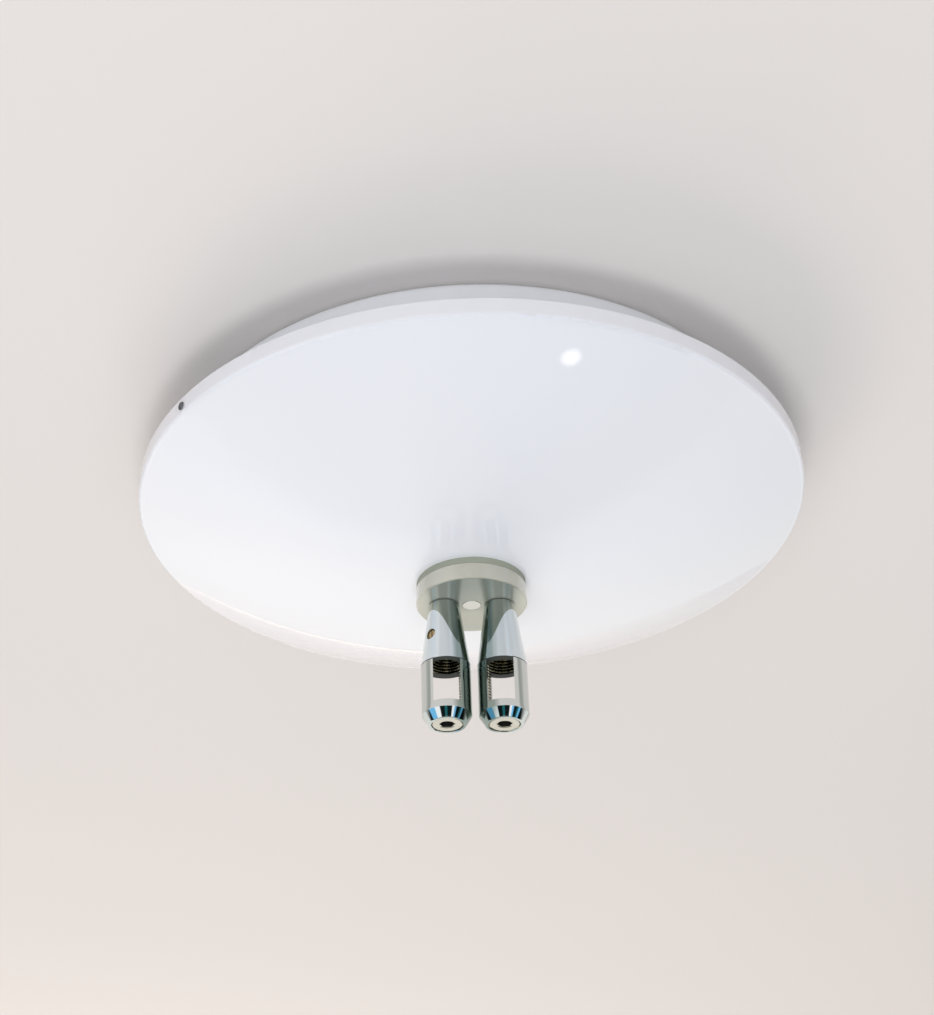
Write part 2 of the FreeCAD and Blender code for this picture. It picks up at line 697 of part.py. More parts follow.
def transformer():
    """A wound ring core between two cushions, held by a dished washer and one bolt."""
    winding = new_body("transformer_winding", x="coil_reach")
    corner = "coil_corner"
    turned(
        winding,
        [
            (f"coil_bore + {corner}", down(COIL_TOP)),
            (f"coil_radius - {corner}", down(COIL_TOP)),
            ("coil_radius", down(f"{COIL_TOP} + {corner}")),
            ("coil_radius", down(f"{COIL_END} - {corner}")),
            (f"coil_radius - {corner}", down(COIL_END)),
            (f"coil_bore + {corner}", down(COIL_END)),
            ("coil_bore", down(f"{COIL_END} - {corner}")),
            ("coil_bore", down(f"{COIL_TOP} + {corner}")),
        ],
        {edge: (RIGHT, corner) for edge in (1, 3, 5, 7)},
        cavity=ring(
            "coil_bore + winding_wall",
            "coil_radius - winding_wall",
            f"{COIL_TOP} + winding_wall",
            f"{COIL_END} - winding_wall",
        ),
    )
    core = new_body("transformer_core", x="coil_reach")
    room = "(winding_wall + turn_gap)"
    turned(
        core,
        ring(
            f"coil_bore + {room}",
            f"coil_radius - {room}",
            f"{COIL_TOP} + {room}",
            f"{COIL_END} - {room}",
        ),
    )
    for label, top in (("upper_cushion", PAN_FLOOR), ("lower_cushion", COIL_END)):
        cushion = new_body(label, x="coil_reach")
        turned(cushion, ring("coil_bore", "cushion_radius", top, f"{top} + cushion_sheet"))

    dish = new_body("dished_washer", x="coil_reach")
    bore = "(bolt_radius + hole_gap)"
    turned(
        dish,
        [
            ("dish_radius", down(DISH_TOP)),
            ("dish_radius", down(f"{DISH_TOP} + dish_sheet")),
            ("dish_rim", down(f"{DISH_TOP} + dish_sheet")),
            ("dish_flat", down(DISH_END)),
            (bore, down(DISH_END)),
            (bore, down(f"{DISH_END} - dish_sheet")),
            ("dish_flat", down(f"{DISH_END} - dish_sheet")),
            ("dish_rim", down(DISH_TOP)),
        ],
    )
    bolt = new_body("transformer_bolt", x="coil_reach")
    tail = f"({DISH_END} + bolt_nut_height + bolt_tail)"
    turned(
        bolt,
        [
            ("0", down("pan_recess - bolt_head_height")),
            ("bolt_head_radius - bolt_head_height / 2", down("pan_recess - bolt_head_height")),
            ("bolt_head_radius", down("pan_recess")),
            ("bolt_radius", down("pan_recess")),
            ("bolt_radius", down(tail)),
            ("0", down(tail)),
        ],
    )
    nut = new_body("transformer_nut", x="coil_reach")
    hex_nut(nut, "bolt_nut_flats", "bolt_radius + hole_gap / 2", DISH_END, "bolt_nut_height")


def box_outline(sketch, length, width):
    half_length, half_width = f"({length}) / 2", f"({width}) / 2"
    closed_outline(
        sketch,
        [
            (half_length, half_width),
            (f"-{half_length}", half_width),
            (f"-{half_length}", f"-{half_width}"),
            (half_length, f"-{half_width}"),
        ],
    )


def terminal_block():
    """The mains terminal block: a tall middle with a wire shelf on each side."""
    block = new_body("terminal_block", x="block_x", y="block_y")
    shelf = f"{PAN_FLOOR} + block_height - block_step"
    profile = new_sketch(block, "YZ_Plane", ("0", "0", "-block_length / 2"))
    closed_outline(
        profile,
        [
            ("-block_width / 2", down(PAN_FLOOR)),
            ("-block_width / 2", down(shelf)),
            ("-block_width / 6", down(shelf)),
            ("-block_width / 6", down(f"{PAN_FLOOR} + block_height")),
            ("block_width / 6", down(f"{PAN_FLOOR} + block_height")),
            ("block_width / 6", down(shelf)),
            ("block_width / 2", down(shelf)),
            ("block_width / 2", down(PAN_FLOOR)),
        ],
    )
    raised(block, profile, "block_length")

    screws = new_body("terminal_screws", x="block_x", y="block_y")
    places = int(amount_of("pole_count"))
    sketch = new_sketch(screws, "XY_Plane", ("0", "0", down(f"{shelf} + pole_height")))
    for i in range(places):
        step = i - (places - 1) / 2
        x = f"(pole_pitch * {step})" if step else "0"
        for sign in ("", "-"):
            circle_outline(sketch, x, f"{sign}block_width / 3", "pole_radius")
    raised(screws, sketch, "pole_height")


def overload_breaker():
    """The breaker in the low-voltage side, with its two blades."""
    case = new_body("overload_breaker", x="breaker_x", y="breaker_y")
    sketch = new_sketch(case, "XY_Plane", ("0", "0", down(f"{PAN_FLOOR} + breaker_height")))
    box_outline(sketch, "breaker_length", "breaker_width")
    raised(case, sketch, "breaker_height")
    blades = new_body("breaker_blades", x="breaker_x", y="breaker_y")
    foot = new_sketch(blades, "YZ_Plane", ("0", "0", "breaker_length / 2"))
    for sign in ("", "-"):
        level = f"{sign}blade_spread"
        half = "blade_sheet / 2"
        middle = f"({PAN_FLOOR} + breaker_height / 2)"
        closed_outline(
            foot,
            [
                (f"{level} + {half}", down(f"{middle} - blade_width / 2")),
                (f"{level} - {half}", down(f"{middle} - blade_width / 2")),
                (f"{level} - {half}", down(f"{middle} + blade_width / 2")),
                (f"{level} + {half}", down(f"{middle} + blade_width / 2")),
            ],
        )
    raised(blades, foot, "blade_length")


def earth_screw():
    screw = new_body("earth_screw", x="earth_x", y="earth_y")
    turned(
        screw,
        [
            ("0", down("pan_recess - earth_tail")),
            ("earth_radius", down("pan_recess - earth_tail")),
            ("earth_radius", down(PAN_FLOOR)),
            ("earth_head", down(PAN_FLOOR)),
            ("earth_head", down(f"{PAN_FLOOR} + earth_height / 2")),
            ("earth_radius", down(f"{PAN_FLOOR} + earth_height")),
            ("0", down(f"{PAN_FLOOR} + earth_height")),
        ],
    )


def hub_parts():
    """Gasket, hub and backing plate, which clamp the dome between them."""
    stud_spots = [("rail_spacing / 2", "0"), ("-rail_spacing / 2", "0")]
    gasket = new_body("hub_gasket")
    turned(gasket, ring("hub_screw_radius + hole_gap", "gasket_radius", "dome_depth", HUB_TOP))
    through = "gasket_sheet + 2 * cut_over"
    drilled(gasket, "dome_depth - cut_over", "sleeve_radius + hole_gap", through, stud_spots)

    hub = new_body("feed_hub")
    screw_bore = "(hub_screw_radius + hole_gap)"
    turned(
        hub,
        [
            (screw_bore, down(HUB_TOP)),
            ("hub_radius", down(HUB_TOP)),
            ("hub_radius", down(f"{HUB_END} - hub_edge")),
            ("hub_radius - hub_edge", down(HUB_END)),
            ("hub_screw_head + hole_gap", down(HUB_END)),
            (screw_bore, down(f"{HUB_END} - hub_screw_head + hub_screw_radius")),
        ],
    )
    drilled(hub, f"{HUB_TOP} - cut_over", "stud_radius + hole_gap", "hub_height + 2 * cut_over", stud_spots)
    drilled(
        hub, f"{HUB_END} - collar_height", "stud_collar + hole_gap", "collar_height + cut_over", stud_spots
    )

    backing = new_body("backing_plate")
    turned(backing, ring(screw_bore, "backing_radius", BACKING_TOP, SEAT_INSIDE))
    through = "backing_sheet + 2 * cut_over"
    drilled(backing, f"{BACKING_TOP} - cut_over", "sleeve_radius + hole_gap", through, stud_spots)

    screw = new_body("hub_screw")
    nut_top = f"({BACKING_TOP} - hub_nut_height)"
    turned(
        screw,
        [
            ("0", down(f"{nut_top} - hub_screw_tail")),
            ("hub_screw_radius", down(f"{nut_top} - hub_screw_tail")),
            ("hub_screw_radius", down(f"{HUB_END} - hub_screw_head + hub_screw_radius")),
            ("hub_screw_head", down(HUB_END)),
            ("0", down(HUB_END)),
        ],
    )
    nut = new_body("hub_screw_nut")
    hex_nut(nut, "hub_nut_flats", "hub_screw_radius + hole_gap / 2", nut_top, "hub_nut_height")


def stud_parts(side, sign):
    """One feed stud with its insulating sleeve, nuts and ring terminal."""
    x = f"{sign}rail_spacing / 2"
    stud = new_body(f"{side}_feed_stud", x=x)
    top = f"({UPPER_NUT_TOP} - stud_tail)"
    groove_top = f"({SET_SCREW} - groove_width / 2)"
    groove_end = f"({SET_SCREW} + groove_width / 2)"
    turned(
        stud,
        [
            ("0", down(top)),
            ("stud_radius", down(top)),
            ("stud_radius", down(f"{HUB_END} - collar_height")),
            ("stud_collar", down(f"{HUB_END} - collar_height")),
            ("stud_collar", down(HUB_END)),
            ("stud_radius", down(HUB_END)),
            ("stud_radius", down(groove_top)),
            ("groove_radius", down(groove_top)),
            ("groove_radius", down(groove_end)),
            ("stud_radius", down(groove_end)),
            ("stud_radius", down(STUD_END)),
            ("0", down(STUD_END)),
        ],
    )
    sleeve = new_body(f"{side}_stud_sleeve", x=x)
    turned(
        sleeve,
        [
            ("stud_radius + hole_gap", down(SLEEVE_TOP)),
            ("sleeve_flange", down(SLEEVE_TOP)),
            ("sleeve_flange", down(BACKING_TOP)),
            ("sleeve_radius", down(BACKING_TOP)),
            ("sleeve_radius", down(HUB_TOP)),
            ("stud_radius + hole_gap", down(HUB_TOP)),
        ],
    )
    nuts = new_body(f"{side}_stud_nuts", x=x)
    for nut_top in (LOWER_NUT_TOP, UPPER_NUT_TOP):
        hex_nut(nuts, "stud_nut_flats", "stud_radius + hole_gap / 2", nut_top, "stud_nut_height")

    lug = new_body(f"{side}_ring_terminal", x=x)
    turned(lug, ring("stud_radius + hole_gap", "lug_radius", LUG_TOP, LOWER_NUT_TOP))
    tongue = new_sketch(lug, "XY_Plane", ("0", "0", down(LOWER_NUT_TOP)))
    half = "crimp_radius"
    closed_outline(
        tongue,
        [
            (half, "-lug_radius * 4 / 5"),
            (f"-{half}", "-lug_radius * 4 / 5"),
            (f"-{half}", "-lug_length + crimp_length"),
            (half, "-lug_length + crimp_length"),
        ],
    )
    raised(lug, tongue, "lug_sheet")
    crimp = new_sketch(lug, "XZ_Plane", ("0", "0", "lug_length - crimp_length"))
    circle_outline(crimp, "0", down(LOWER_NUT_TOP), "crimp_radius")
    raised(lug, crimp, "crimp_length")


def barrel_parts(side, sign, turn):
    """One rail barrel with its window, set screw, clamp screw and clamp pad."""
    x = f"{sign}rail_spacing / 2"
    barrel = new_body(f"{side}_barrel", x=x, turn=turn)
    turned(
        barrel,
        [
            ("stud_radius + run_gap", down(BARREL_TOP)),
            ("barrel_top_radius", down(BARREL_TOP)),
            ("barrel_radius", down(WINDOW_TOP)),
            ("barrel_radius", down(NOSE_TOP)),
            ("nose_radius", down(BARREL_END)),
            ("thread_radius", down(BARREL_END)),
            ("thread_radius", down(BORE_TOP)),
            ("stud_radius + run_gap", down(BORE_TOP)),
        ],
    )
    window = new_sketch(barrel, "XZ_Plane")
    closed_outline(
        window,
        [
            ("window_width / 2", down(WINDOW_TOP)),
            ("-window_width / 2", down(WINDOW_TOP)),
            ("-window_width / 2", down(f"{WINDOW_TOP} + window_height")),
            ("window_width / 2", down(f"{WINDOW_TOP} + window_height")),
        ],
    )
    cut_out(barrel, window, "4 * barrel_radius", middle=True)
    upright = (0, 1, 0)
    tapped = new_sketch(barrel, "XZ_Plane", turn="set_screw_side", about=upright)
    circle_outline(tapped, "0", down(SET_SCREW), "set_screw_radius + hole_gap / 2")
    cut_out(barrel, tapped, "2 * barrel_radius", forwards=True)

    set_screw = new_body(f"{side}_set_screw", x=x, turn=turn)
    slope = "(barrel_radius - barrel_top_radius) / cone_length"
    outer = f"(barrel_top_radius + {slope} * (set_screw_depth - set_screw_radius))"
    tip = "(groove_radius + turn_gap)"
    profile = new_sketch(
        set_screw, "YZ_Plane", ("0", down(SET_SCREW), "0"), turn="set_screw_side", about=upright
    )
    closed_outline(
        profile,
        [
            (f"-{tip}", "0"),
            (f"-{tip}", "set_tip_radius"),
            (f"-{tip} - set_tip_length", "set_screw_radius"),
            (f"-{outer}", "set_screw_radius"),
            (f"-{outer}", "0"),
        ],
    )
    revolved(set_screw, profile, "H_Axis")

    pad = new_body(f"{side}_clamp_pad", x=x, turn=turn)
    turned(
        pad,
        [
            ("0", down(PAD_TOP)),
            ("pad_radius", down(PAD_TOP)),
            ("pad_radius", down(PAD_END)),
            ("spigot_radius", down(PAD_END)),
            ("spigot_radius", down(f"{PAD_END} + spigot_length")),
            ("0", down(f"{PAD_END} + spigot_length")),
        ],
    )
    screw = new_body(f"{side}_clamp_screw", x=x, turn=turn)
    outside = "(thread_radius - run_gap)"
    turned(
        screw,
        [
            ("0", down(f"{SCREW_TOP} + spigot_length")),
            ("spigot_radius + run_gap", down(f"{SCREW_TOP} + spigot_length")),
            ("spigot_radius + run_gap", down(SCREW_TOP)),
            (f"{outside} - screw_edge", down(SCREW_TOP)),
            (outside, down(f"{SCREW_TOP} + screw_edge")),
            (outside, down(f"{SCREW_END} - screw_edge")),
            (f"{outside} - screw_edge", down(SCREW_END)),
            ("0", down(SCREW_END)),
        ],
    )
    key = new_sketch(screw, "XY_Plane", ("0", "0", down(SCREW_END)))
    closed_outline(key, hexagon("key_flats"))
    cut_out(screw, key, "key_depth", forwards=True)


def lead_path(points):
    """Straight runs joined by tangent arcs, each as large as its two runs allow."""
    edges = []
    radii = []
    start = points[0]
    for before, corner, after in zip(points, points[1:], points[2:]):
        back = before - corner
        onward = after - corner
        half_turn = (math.pi - back.getAngle(onward)) / 2
        trim = BEND_SHARE * min(back.Length, onward.Length)
        radii.append(trim / math.tan(half_turn))
        first = corner + back.normalize() * trim
        last = corner + onward.normalize() * trim
        bisector = (first + last) * 0.5 - corner
        reach = math.hypot(trim, radii[-1]) - radii[-1]
        middle = corner + bisector.normalize() * reach
        edges.append(Part.LineSegment(start, first).toShape())
        edges.append(Part.Arc(first, middle, last).toShape())
        start = last
    edges.append(Part.LineSegment(start, points[-1]).toShape())
    return Part.Wire(edges), radii


def lead_solid(points, radius):
    """A round lead along its path, checked by its section times its length."""
    path, radii = lead_path(points)
    section = Part.Wire([Part.Circle(points[0], points[1] - points[0], radius).toShape()])
    solid = path.makePipeShell([section], True, False)
    expected = math.pi * radius * radius * path.Length
    if abs(solid.Volume / expected - 1) > 0.01:
        raise RuntimeError("a lead's volume doesn't match its path")
    print("lead bends:", ", ".join(f"{r:.1f}" for r in radii), f"length {path.Length:.1f}")
    return solid


def spot(x, y, depth):
    """A point from three expressions, the last one a depth below the ceiling."""
    return FreeCAD.Vector(amount_of(x), amount_of(y), -amount_of(depth))


def ring_spot(share, depth):
    """A point beside the transformer ring, back and sideways as shares of the ring's radius."""
    back, side = share
    return spot(f"coil_reach - coil_radius * {back}", f"coil_radius * {side}", depth)


def leads():
    """The wires that the pan and the dome enclose, each along its own route."""
    mains, feed = amount_of("mains_lead_radius"), amount_of("feed_lead_radius")
    coil_side = f"({COIL_TOP} + coil_height / 2)"
    block_end = "block_x + block_length / 2"
    entry = f"{PAN_FLOOR} + block_height - block_step - entry_drop"
    build_lead(
        "mains_lead",
        mains,
        [
            ring_spot(MAINS_LEAVES, coil_side),
            ring_spot(MAINS_TURNS, coil_side),
            spot(f"{block_end} + block_slack", "block_y + block_spread", f"{coil_side} - block_lift"),
            spot(f"{block_end} + block_run", "block_y", entry),
            spot(f"{block_end} + turn_gap", "block_y", entry),
        ],
    )
    step = f"{PAN_FLOOR} + block_step"
    build_lead(
        "earth_lead",
        mains,
        [
            spot("block_x", "block_y + block_width / 2 + turn_gap", step),
            spot("block_x", "block_y + block_width / 2 + earth_run", step),
            spot("block_x + earth_slack", "earth_y + earth_spread", f"{step} - earth_lift"),
            spot(
                "earth_x - earth_head - mains_lead_radius - turn_gap",
                "earth_y",
                f"{PAN_FLOOR} + mains_lead_radius + turn_gap",
            ),
        ],
    )
    blade_end = "breaker_x + breaker_length / 2 + blade_length"
    blade = f"({PAN_FLOOR} + breaker_height / 2)"
    build_lead(
        "breaker_lead",
        feed,
        [
            ring_spot(BREAKER_LEAVES, coil_side),
            ring_spot(BREAKER_TURNS, coil_side),
            spot(f"{blade_end} + blade_slack", "breaker_y - blade_spread - blade_out", blade),
            spot(f"{blade_end} + turn_gap", "breaker_y - blade_spread", blade),
        ],
    )
    lug = "rail_spacing / 2"
    bend = f"{LOWER_NUT_TOP} - lug_lift"
    build_lead(
        "left_feed_lead",
        feed,
        [
            spot(f"{blade_end} + turn_gap", "breaker_y + blade_spread", blade),
            spot(f"{blade_end} + blade_run", "breaker_y + blade_spread", blade),
            spot(f"-{lug} - left_spread", "-lug_length - left_slack", f"{blade} + left_sag"),
            spot(f"-{lug}", "-lug_length - left_turn_in", bend),
            spot(f"-{lug}", "-lug_length - lug_run", LOWER_NUT_TOP),
            spot(f"-{lug}", "-lug_length - turn_gap", LOWER_NUT_TOP),
        ],
    )
    build_lead(
        "right_feed_lead",
        feed,
        [
            ring_spot(FEED_LEAVES, coil_side),
            ring_spot(FEED_TURNS, coil_side),
            spot(f"{lug} - right_spread", "-lug_length - right_slack", f"{coil_side} + right_sag"),
            spot(lug, "-lug_length - right_turn_in", bend),
            spot(lug, "-lug_length - lug_run", LOWER_NUT_TOP),
            spot(lug, "-lug_length - turn_gap", LOWER_NUT_TOP),
        ],
    )


def build_lead(label, radius, points):
    lead = doc.addObject("Part::Feature", label)
    lead.Label = label
    lead.Shape = lead_solid(points, radius)
    lead.Placement = FreeCAD.Placement()


def write_parts():
    """Checks every object of the document, then writes one file for each piece."""
    doc.recompute()
    for item in doc.Objects:
        if any(word in item.State for word in ("Invalid", "Error")):
            raise RuntimeError(f"{item.Name} failed: {item.State}")
    pieces = [o for o in doc.Objects if o.TypeId in ("PartDesign::Body", "Part::Feature")]
    for piece in pieces:
        if piece.Shape.isNull() or not piece.Shape.isValid():
            raise RuntimeError(f"{piece.Label} has no valid shape")
    os.makedirs("parts", exist_ok=True)
    for piece in pieces:
        piece.Shape.exportStep(os.path.join("parts", piece.Label + ".step"))
    print(len(pieces), "pieces written")


bar_and_hangers()
base_pan()
dome_shield()
shield_brackets()
transformer()
terminal_block()
overload_breaker()
earth_screw()
hub_parts()
for side, sign, turn in (("left", "-", "left_turn"), ("right", "", "right_turn")):
    stud_parts(side, sign)
    barrel_parts(side, sign, turn)
leads()
write_parts()
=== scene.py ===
import json
import math

import bpy
from mathutils import Matrix, Vector

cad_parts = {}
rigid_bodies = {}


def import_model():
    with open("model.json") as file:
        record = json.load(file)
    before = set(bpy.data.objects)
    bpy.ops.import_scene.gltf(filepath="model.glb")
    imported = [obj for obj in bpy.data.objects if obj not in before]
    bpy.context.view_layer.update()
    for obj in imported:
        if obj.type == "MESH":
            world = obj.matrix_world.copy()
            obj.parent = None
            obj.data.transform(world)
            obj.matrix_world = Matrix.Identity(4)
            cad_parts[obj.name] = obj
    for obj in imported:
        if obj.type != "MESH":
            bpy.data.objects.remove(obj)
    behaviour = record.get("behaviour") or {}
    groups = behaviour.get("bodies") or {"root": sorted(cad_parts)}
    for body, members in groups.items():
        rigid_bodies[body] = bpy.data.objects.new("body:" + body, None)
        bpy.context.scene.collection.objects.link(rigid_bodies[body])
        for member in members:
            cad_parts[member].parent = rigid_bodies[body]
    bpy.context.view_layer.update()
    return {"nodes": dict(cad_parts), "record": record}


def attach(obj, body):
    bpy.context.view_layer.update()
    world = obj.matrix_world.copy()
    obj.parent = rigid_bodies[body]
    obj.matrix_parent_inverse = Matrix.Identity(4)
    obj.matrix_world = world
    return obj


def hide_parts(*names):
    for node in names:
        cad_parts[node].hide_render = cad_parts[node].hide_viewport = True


bl_info = {
    "name": "Rail feed canopy",
    "version": (1, 0, 0),
    "blender": (4, 5, 0),
    "location": "3D View > Sidebar > Rail feed",
    "description": "Builds the looks of a ceiling canopy that feeds a pair of rails",
    "category": "Object",
}

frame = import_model()
SIDES = ("left", "right")
SMALL_STEPS = 48


# Settings

class RailFeedSettings(bpy.types.PropertyGroup):
    rail_spacing: bpy.props.FloatProperty(
        name="Rail spacing", description="Between the two barrels", default=0.025,
        unit="LENGTH", precision=5)
    barrel_top: bpy.props.FloatProperty(
        name="Barrel top", description="Depth of the barrel's upper end", default=0.0783,
        unit="LENGTH", precision=5)
    barrel_window: bpy.props.FloatProperty(
        name="Window top", description="Depth where the taper and the window meet", default=0.1093,
        unit="LENGTH", precision=5)
    barrel_nose: bpy.props.FloatProperty(
        name="Nose top", description="Depth where the chamfered nose starts", default=0.1333,
        unit="LENGTH", precision=5)
    barrel_end: bpy.props.FloatProperty(
        name="Barrel end", description="Depth of the barrel's flat end", default=0.1377,
        unit="LENGTH", precision=5)
    top_radius: bpy.props.FloatProperty(
        name="Top radius", description="Barrel radius at the hub", default=0.00685,
        unit="LENGTH", precision=5)
    body_radius: bpy.props.FloatProperty(
        name="Body radius", description="Barrel radius at the window", default=0.01105,
        unit="LENGTH", precision=5)
    nose_radius: bpy.props.FloatProperty(
        name="Nose radius", description="Radius of the flat end", default=0.00835,
        unit="LENGTH", precision=5)
    bore_radius: bpy.props.FloatProperty(
        name="Bore radius", description="Crest radius of the tapped bore", default=0.00695,
        unit="LENGTH", precision=5)
    bore_top: bpy.props.FloatProperty(
        name="Bore top", description="Depth of the bottom of the tapped bore", default=0.0995,
        unit="LENGTH", precision=5)
    stud_bore: bpy.props.FloatProperty(
        name="Stud bore", description="Radius of the hole for the feed stud", default=0.00308,
        unit="LENGTH", precision=5)
    window_width: bpy.props.FloatProperty(
        name="Window width", description="Width of the rail window", default=0.012,
        unit="LENGTH", precision=5)
    window_height: bpy.props.FloatProperty(
        name="Window height", description="Height of the rail window", default=0.0207,
        unit="LENGTH", precision=5)
    right_turn: bpy.props.FloatProperty(
        name="Right turn", description="Turn of the right barrel about its stud", default=math.radians(170),
        unit="ROTATION")
    tapped_side: bpy.props.FloatProperty(
        name="Set screw side", description="Direction of the set screw on the left barrel",
        default=math.radians(224), unit="ROTATION")
    tapped_depth: bpy.props.FloatProperty(
        name="Set screw depth", description="Depth of the set screw", default=0.0958,
        unit="LENGTH", precision=5)
    tapped_radius: bpy.props.FloatProperty(
        name="Tapped hole", description="Radius of the set screw's hole", default=0.002575,
        unit="LENGTH", precision=6)
    pitch: bpy.props.FloatProperty(
        name="Thread pitch", description="Pitch of the clamp thread", default=0.0015,
        unit="LENGTH", precision=5)
    thread_depth: bpy.props.FloatProperty(
        name="Thread depth", description="Depth of the clamp thread", default=0.00072,
        unit="LENGTH", precision=5)
    turn_steps: bpy.props.IntProperty(
        name="Steps per turn", description="Faces round a turned piece", default=128, min=48, max=192)
    screw_top: bpy.props.FloatProperty(
        name="Clamp screw top", description="Depth of the clamp screw's upper face", default=0.1320,
        unit="LENGTH", precision=5)
    screw_end: bpy.props.FloatProperty(
        name="Clamp screw end", description="Depth of the clamp screw's lower face", default=0.1374,
        unit="LENGTH", precision=5)
    screw_radius: bpy.props.FloatProperty(
        name="Clamp screw radius", description="Crest radius of the clamp screw", default=0.00687,
        unit="LENGTH", precision=5)
    key_flats: bpy.props.FloatProperty(
        name="Key flats", description="Hex socket across flats", default=0.006, unit="LENGTH", precision=5)
    key_depth: bpy.props.FloatProperty(
        name="Key depth", description="Depth of the hex socket", default=0.003, unit="LENGTH", precision=5)
    hub_end: bpy.props.FloatProperty(
        name="Hub end", description="Depth of the hub's lower face", default=0.078,
        unit="LENGTH", precision=5)
    rim_bearing: bpy.props.FloatProperty(
        name="Rim screw bearing", description="Direction of the first rim screw", default=math.radians(215),
        unit="ROTATION")
    rim_screw_count: bpy.props.IntProperty(
        name="Rim screws", description="Screws round the rim", default=2, min=1, max=6)
    rim_seat: bpy.props.FloatProperty(
        name="Rim screw seat", description="Under the rim screw's head, from the axis", default=0.1527,
        unit="LENGTH", precision=5)
    rim_screw_depth: bpy.props.FloatProperty(
        name="Rim screw depth", description="Depth of the rim screws", default=0.02875,
        unit="LENGTH", precision=5)
    rim_screw_length: bpy.props.FloatProperty(
        name="Rim screw length", description="Shank of a rim screw", default=0.0063,
        unit="LENGTH", precision=5)
    wall_seat: bpy.props.FloatProperty(
        name="Wall screw seat", description="Under the pan screw's head, from the axis", default=0.1347,
        unit="LENGTH", precision=5)
    wall_screw_depth: bpy.props.FloatProperty(
        name="Wall screw depth", description="Depth of the pan screws", default=0.016,
        unit="LENGTH", precision=5)
    wall_screw_length: bpy.props.FloatProperty(
        name="Wall screw length", description="Shank of a pan screw", default=0.0069,
        unit="LENGTH", precision=5)
    wall_head_height: bpy.props.FloatProperty(
        name="Wall screw head", description="Height of a pan screw's head", default=0.0018,
        unit="LENGTH", precision=5)
    coil_place: bpy.props.FloatProperty(
        name="Coil place", description="From the canopy's axis to the winding's", default=0.063,
        unit="LENGTH", precision=5)


class RailStageSettings(bpy.types.PropertyGroup):
    focal_pixels: bpy.props.FloatProperty(
        name="Focal length", description="In pixels of the picture", default=1815.5)
    camera_place: bpy.props.FloatVectorProperty(
        name="Camera place", description="From the canopy's middle at the ceiling",
        default=(-0.040173, -0.717221, -0.477514), size=3, unit="LENGTH")
    picture_size: bpy.props.FloatVectorProperty(
        name="Picture size", description="Width and height in pixels", default=(934.0, 1015.0), size=2)
    view_centre: bpy.props.FloatVectorProperty(
        name="View centre", description="Where the view axis meets the picture, in pixels",
        default=(350.0, 580.0), size=2)
    camera_pitch: bpy.props.FloatProperty(
        name="Pitch", description="Above the horizon", default=math.radians(29.947), unit="ROTATION")
    camera_yaw: bpy.props.FloatProperty(
        name="Yaw", description="To the right of +Y", default=math.radians(-1.186), unit="ROTATION")
    camera_roll: bpy.props.FloatProperty(
        name="Roll", description="About the view axis", default=math.radians(0.136), unit="ROTATION")
    key_power: bpy.props.FloatProperty(
        name="Key power", description="Power of the window light", default=8.0, unit="POWER")
    fill_power: bpy.props.FloatProperty(
        name="Fill power", description="Power of the fill light", default=8.5, unit="POWER")
    far_power: bpy.props.FloatProperty(
        name="Far window power", description="Power of the far window's light", default=38.0, unit="POWER")
    below_power: bpy.props.FloatProperty(
        name="Power from below", description="Power of the light from below", default=9.8, unit="POWER")
    air_light: bpy.props.FloatProperty(
        name="Room light", description="Strength of the light from the room", default=0.49)
    opening_radius: bpy.props.FloatProperty(
        name="Ceiling opening", description="Hole in the ceiling, hidden above the pan", default=0.1303,
        unit="LENGTH", precision=5)


# Node helpers

def new_node(tree, kind, **values):
    """A node with its plain settings, or with input values where the name isn't a setting."""
    node = tree.nodes.new(kind)
    for name, value in values.items():
        if hasattr(node, name):
            setattr(node, name, value)
        else:
            node.inputs[name.replace("_", " ")].default_value = value
    return node


def ramp(tree, source, stops):
    node = tree.nodes.new("ShaderNodeValToRGB")
    elements = node.color_ramp.elements
    for element, (place, colour) in zip(elements, (stops[0], stops[-1])):
        element.position = place
        element.color = (*colour, 1) if isinstance(colour, tuple) else (colour, colour, colour, 1)
    for place, colour in stops[1:-1]:
        element = elements.new(place)
        element.color = (*colour, 1) if isinstance(colour, tuple) else (colour, colour, colour, 1)
    tree.links.new(source, node.inputs["Fac"])
    return node.outputs["Color"]


def bands(steps, soft=0.003):
    """Ramp stops for plain bands with slightly soft borders."""
    stops = [(0.0, steps[0][1])]
    for (_, before), (place, after) in zip(steps, steps[1:]):
        stops += [(place - soft, before), (place + soft, after)]
    return stops + [(1.0, steps[-1][1])]


def maths(tree, operation, first, second=None, third=None):
    node = tree.nodes.new("ShaderNodeMath")
    node.operation = operation
    for socket, value in zip(node.inputs, (first, second, third)):
        if isinstance(value, (int, float)):
            socket.default_value = value
        elif value is not None:
            tree.links.new(value, socket)
    return node.outputs["Value"]


def mixed(tree, factor, first, second, blend="MIX"):
    """A colour mixed from two colours or sockets."""
    node = tree.nodes.new("ShaderNodeMix")
    node.data_type = "RGBA"
    node.blend_type = blend
    for socket, value in ((node.inputs[0], factor), (node.inputs[6], first), (node.inputs[7], second)):
        if isinstance(value, tuple):
            socket.default_value = (*value, 1)
        elif isinstance(value, (int, float)):
            socket.default_value = value
        else:
            tree.links.new(value, socket)
    return node.outputs[2]


def new_group(name, inputs, outputs):
    group = bpy.data.node_groups.new(name, "ShaderNodeTree")
    for label, value in inputs:
        socket = group.interface.new_socket(name=label, in_out="INPUT", socket_type="NodeSocketFloat")
        socket.default_value = value
    for label, kind in outputs:
        group.interface.new_socket(name=label, in_out="OUTPUT", socket_type=kind)
    return group, group.nodes.new("NodeGroupInput"), group.nodes.new("NodeGroupOutput")


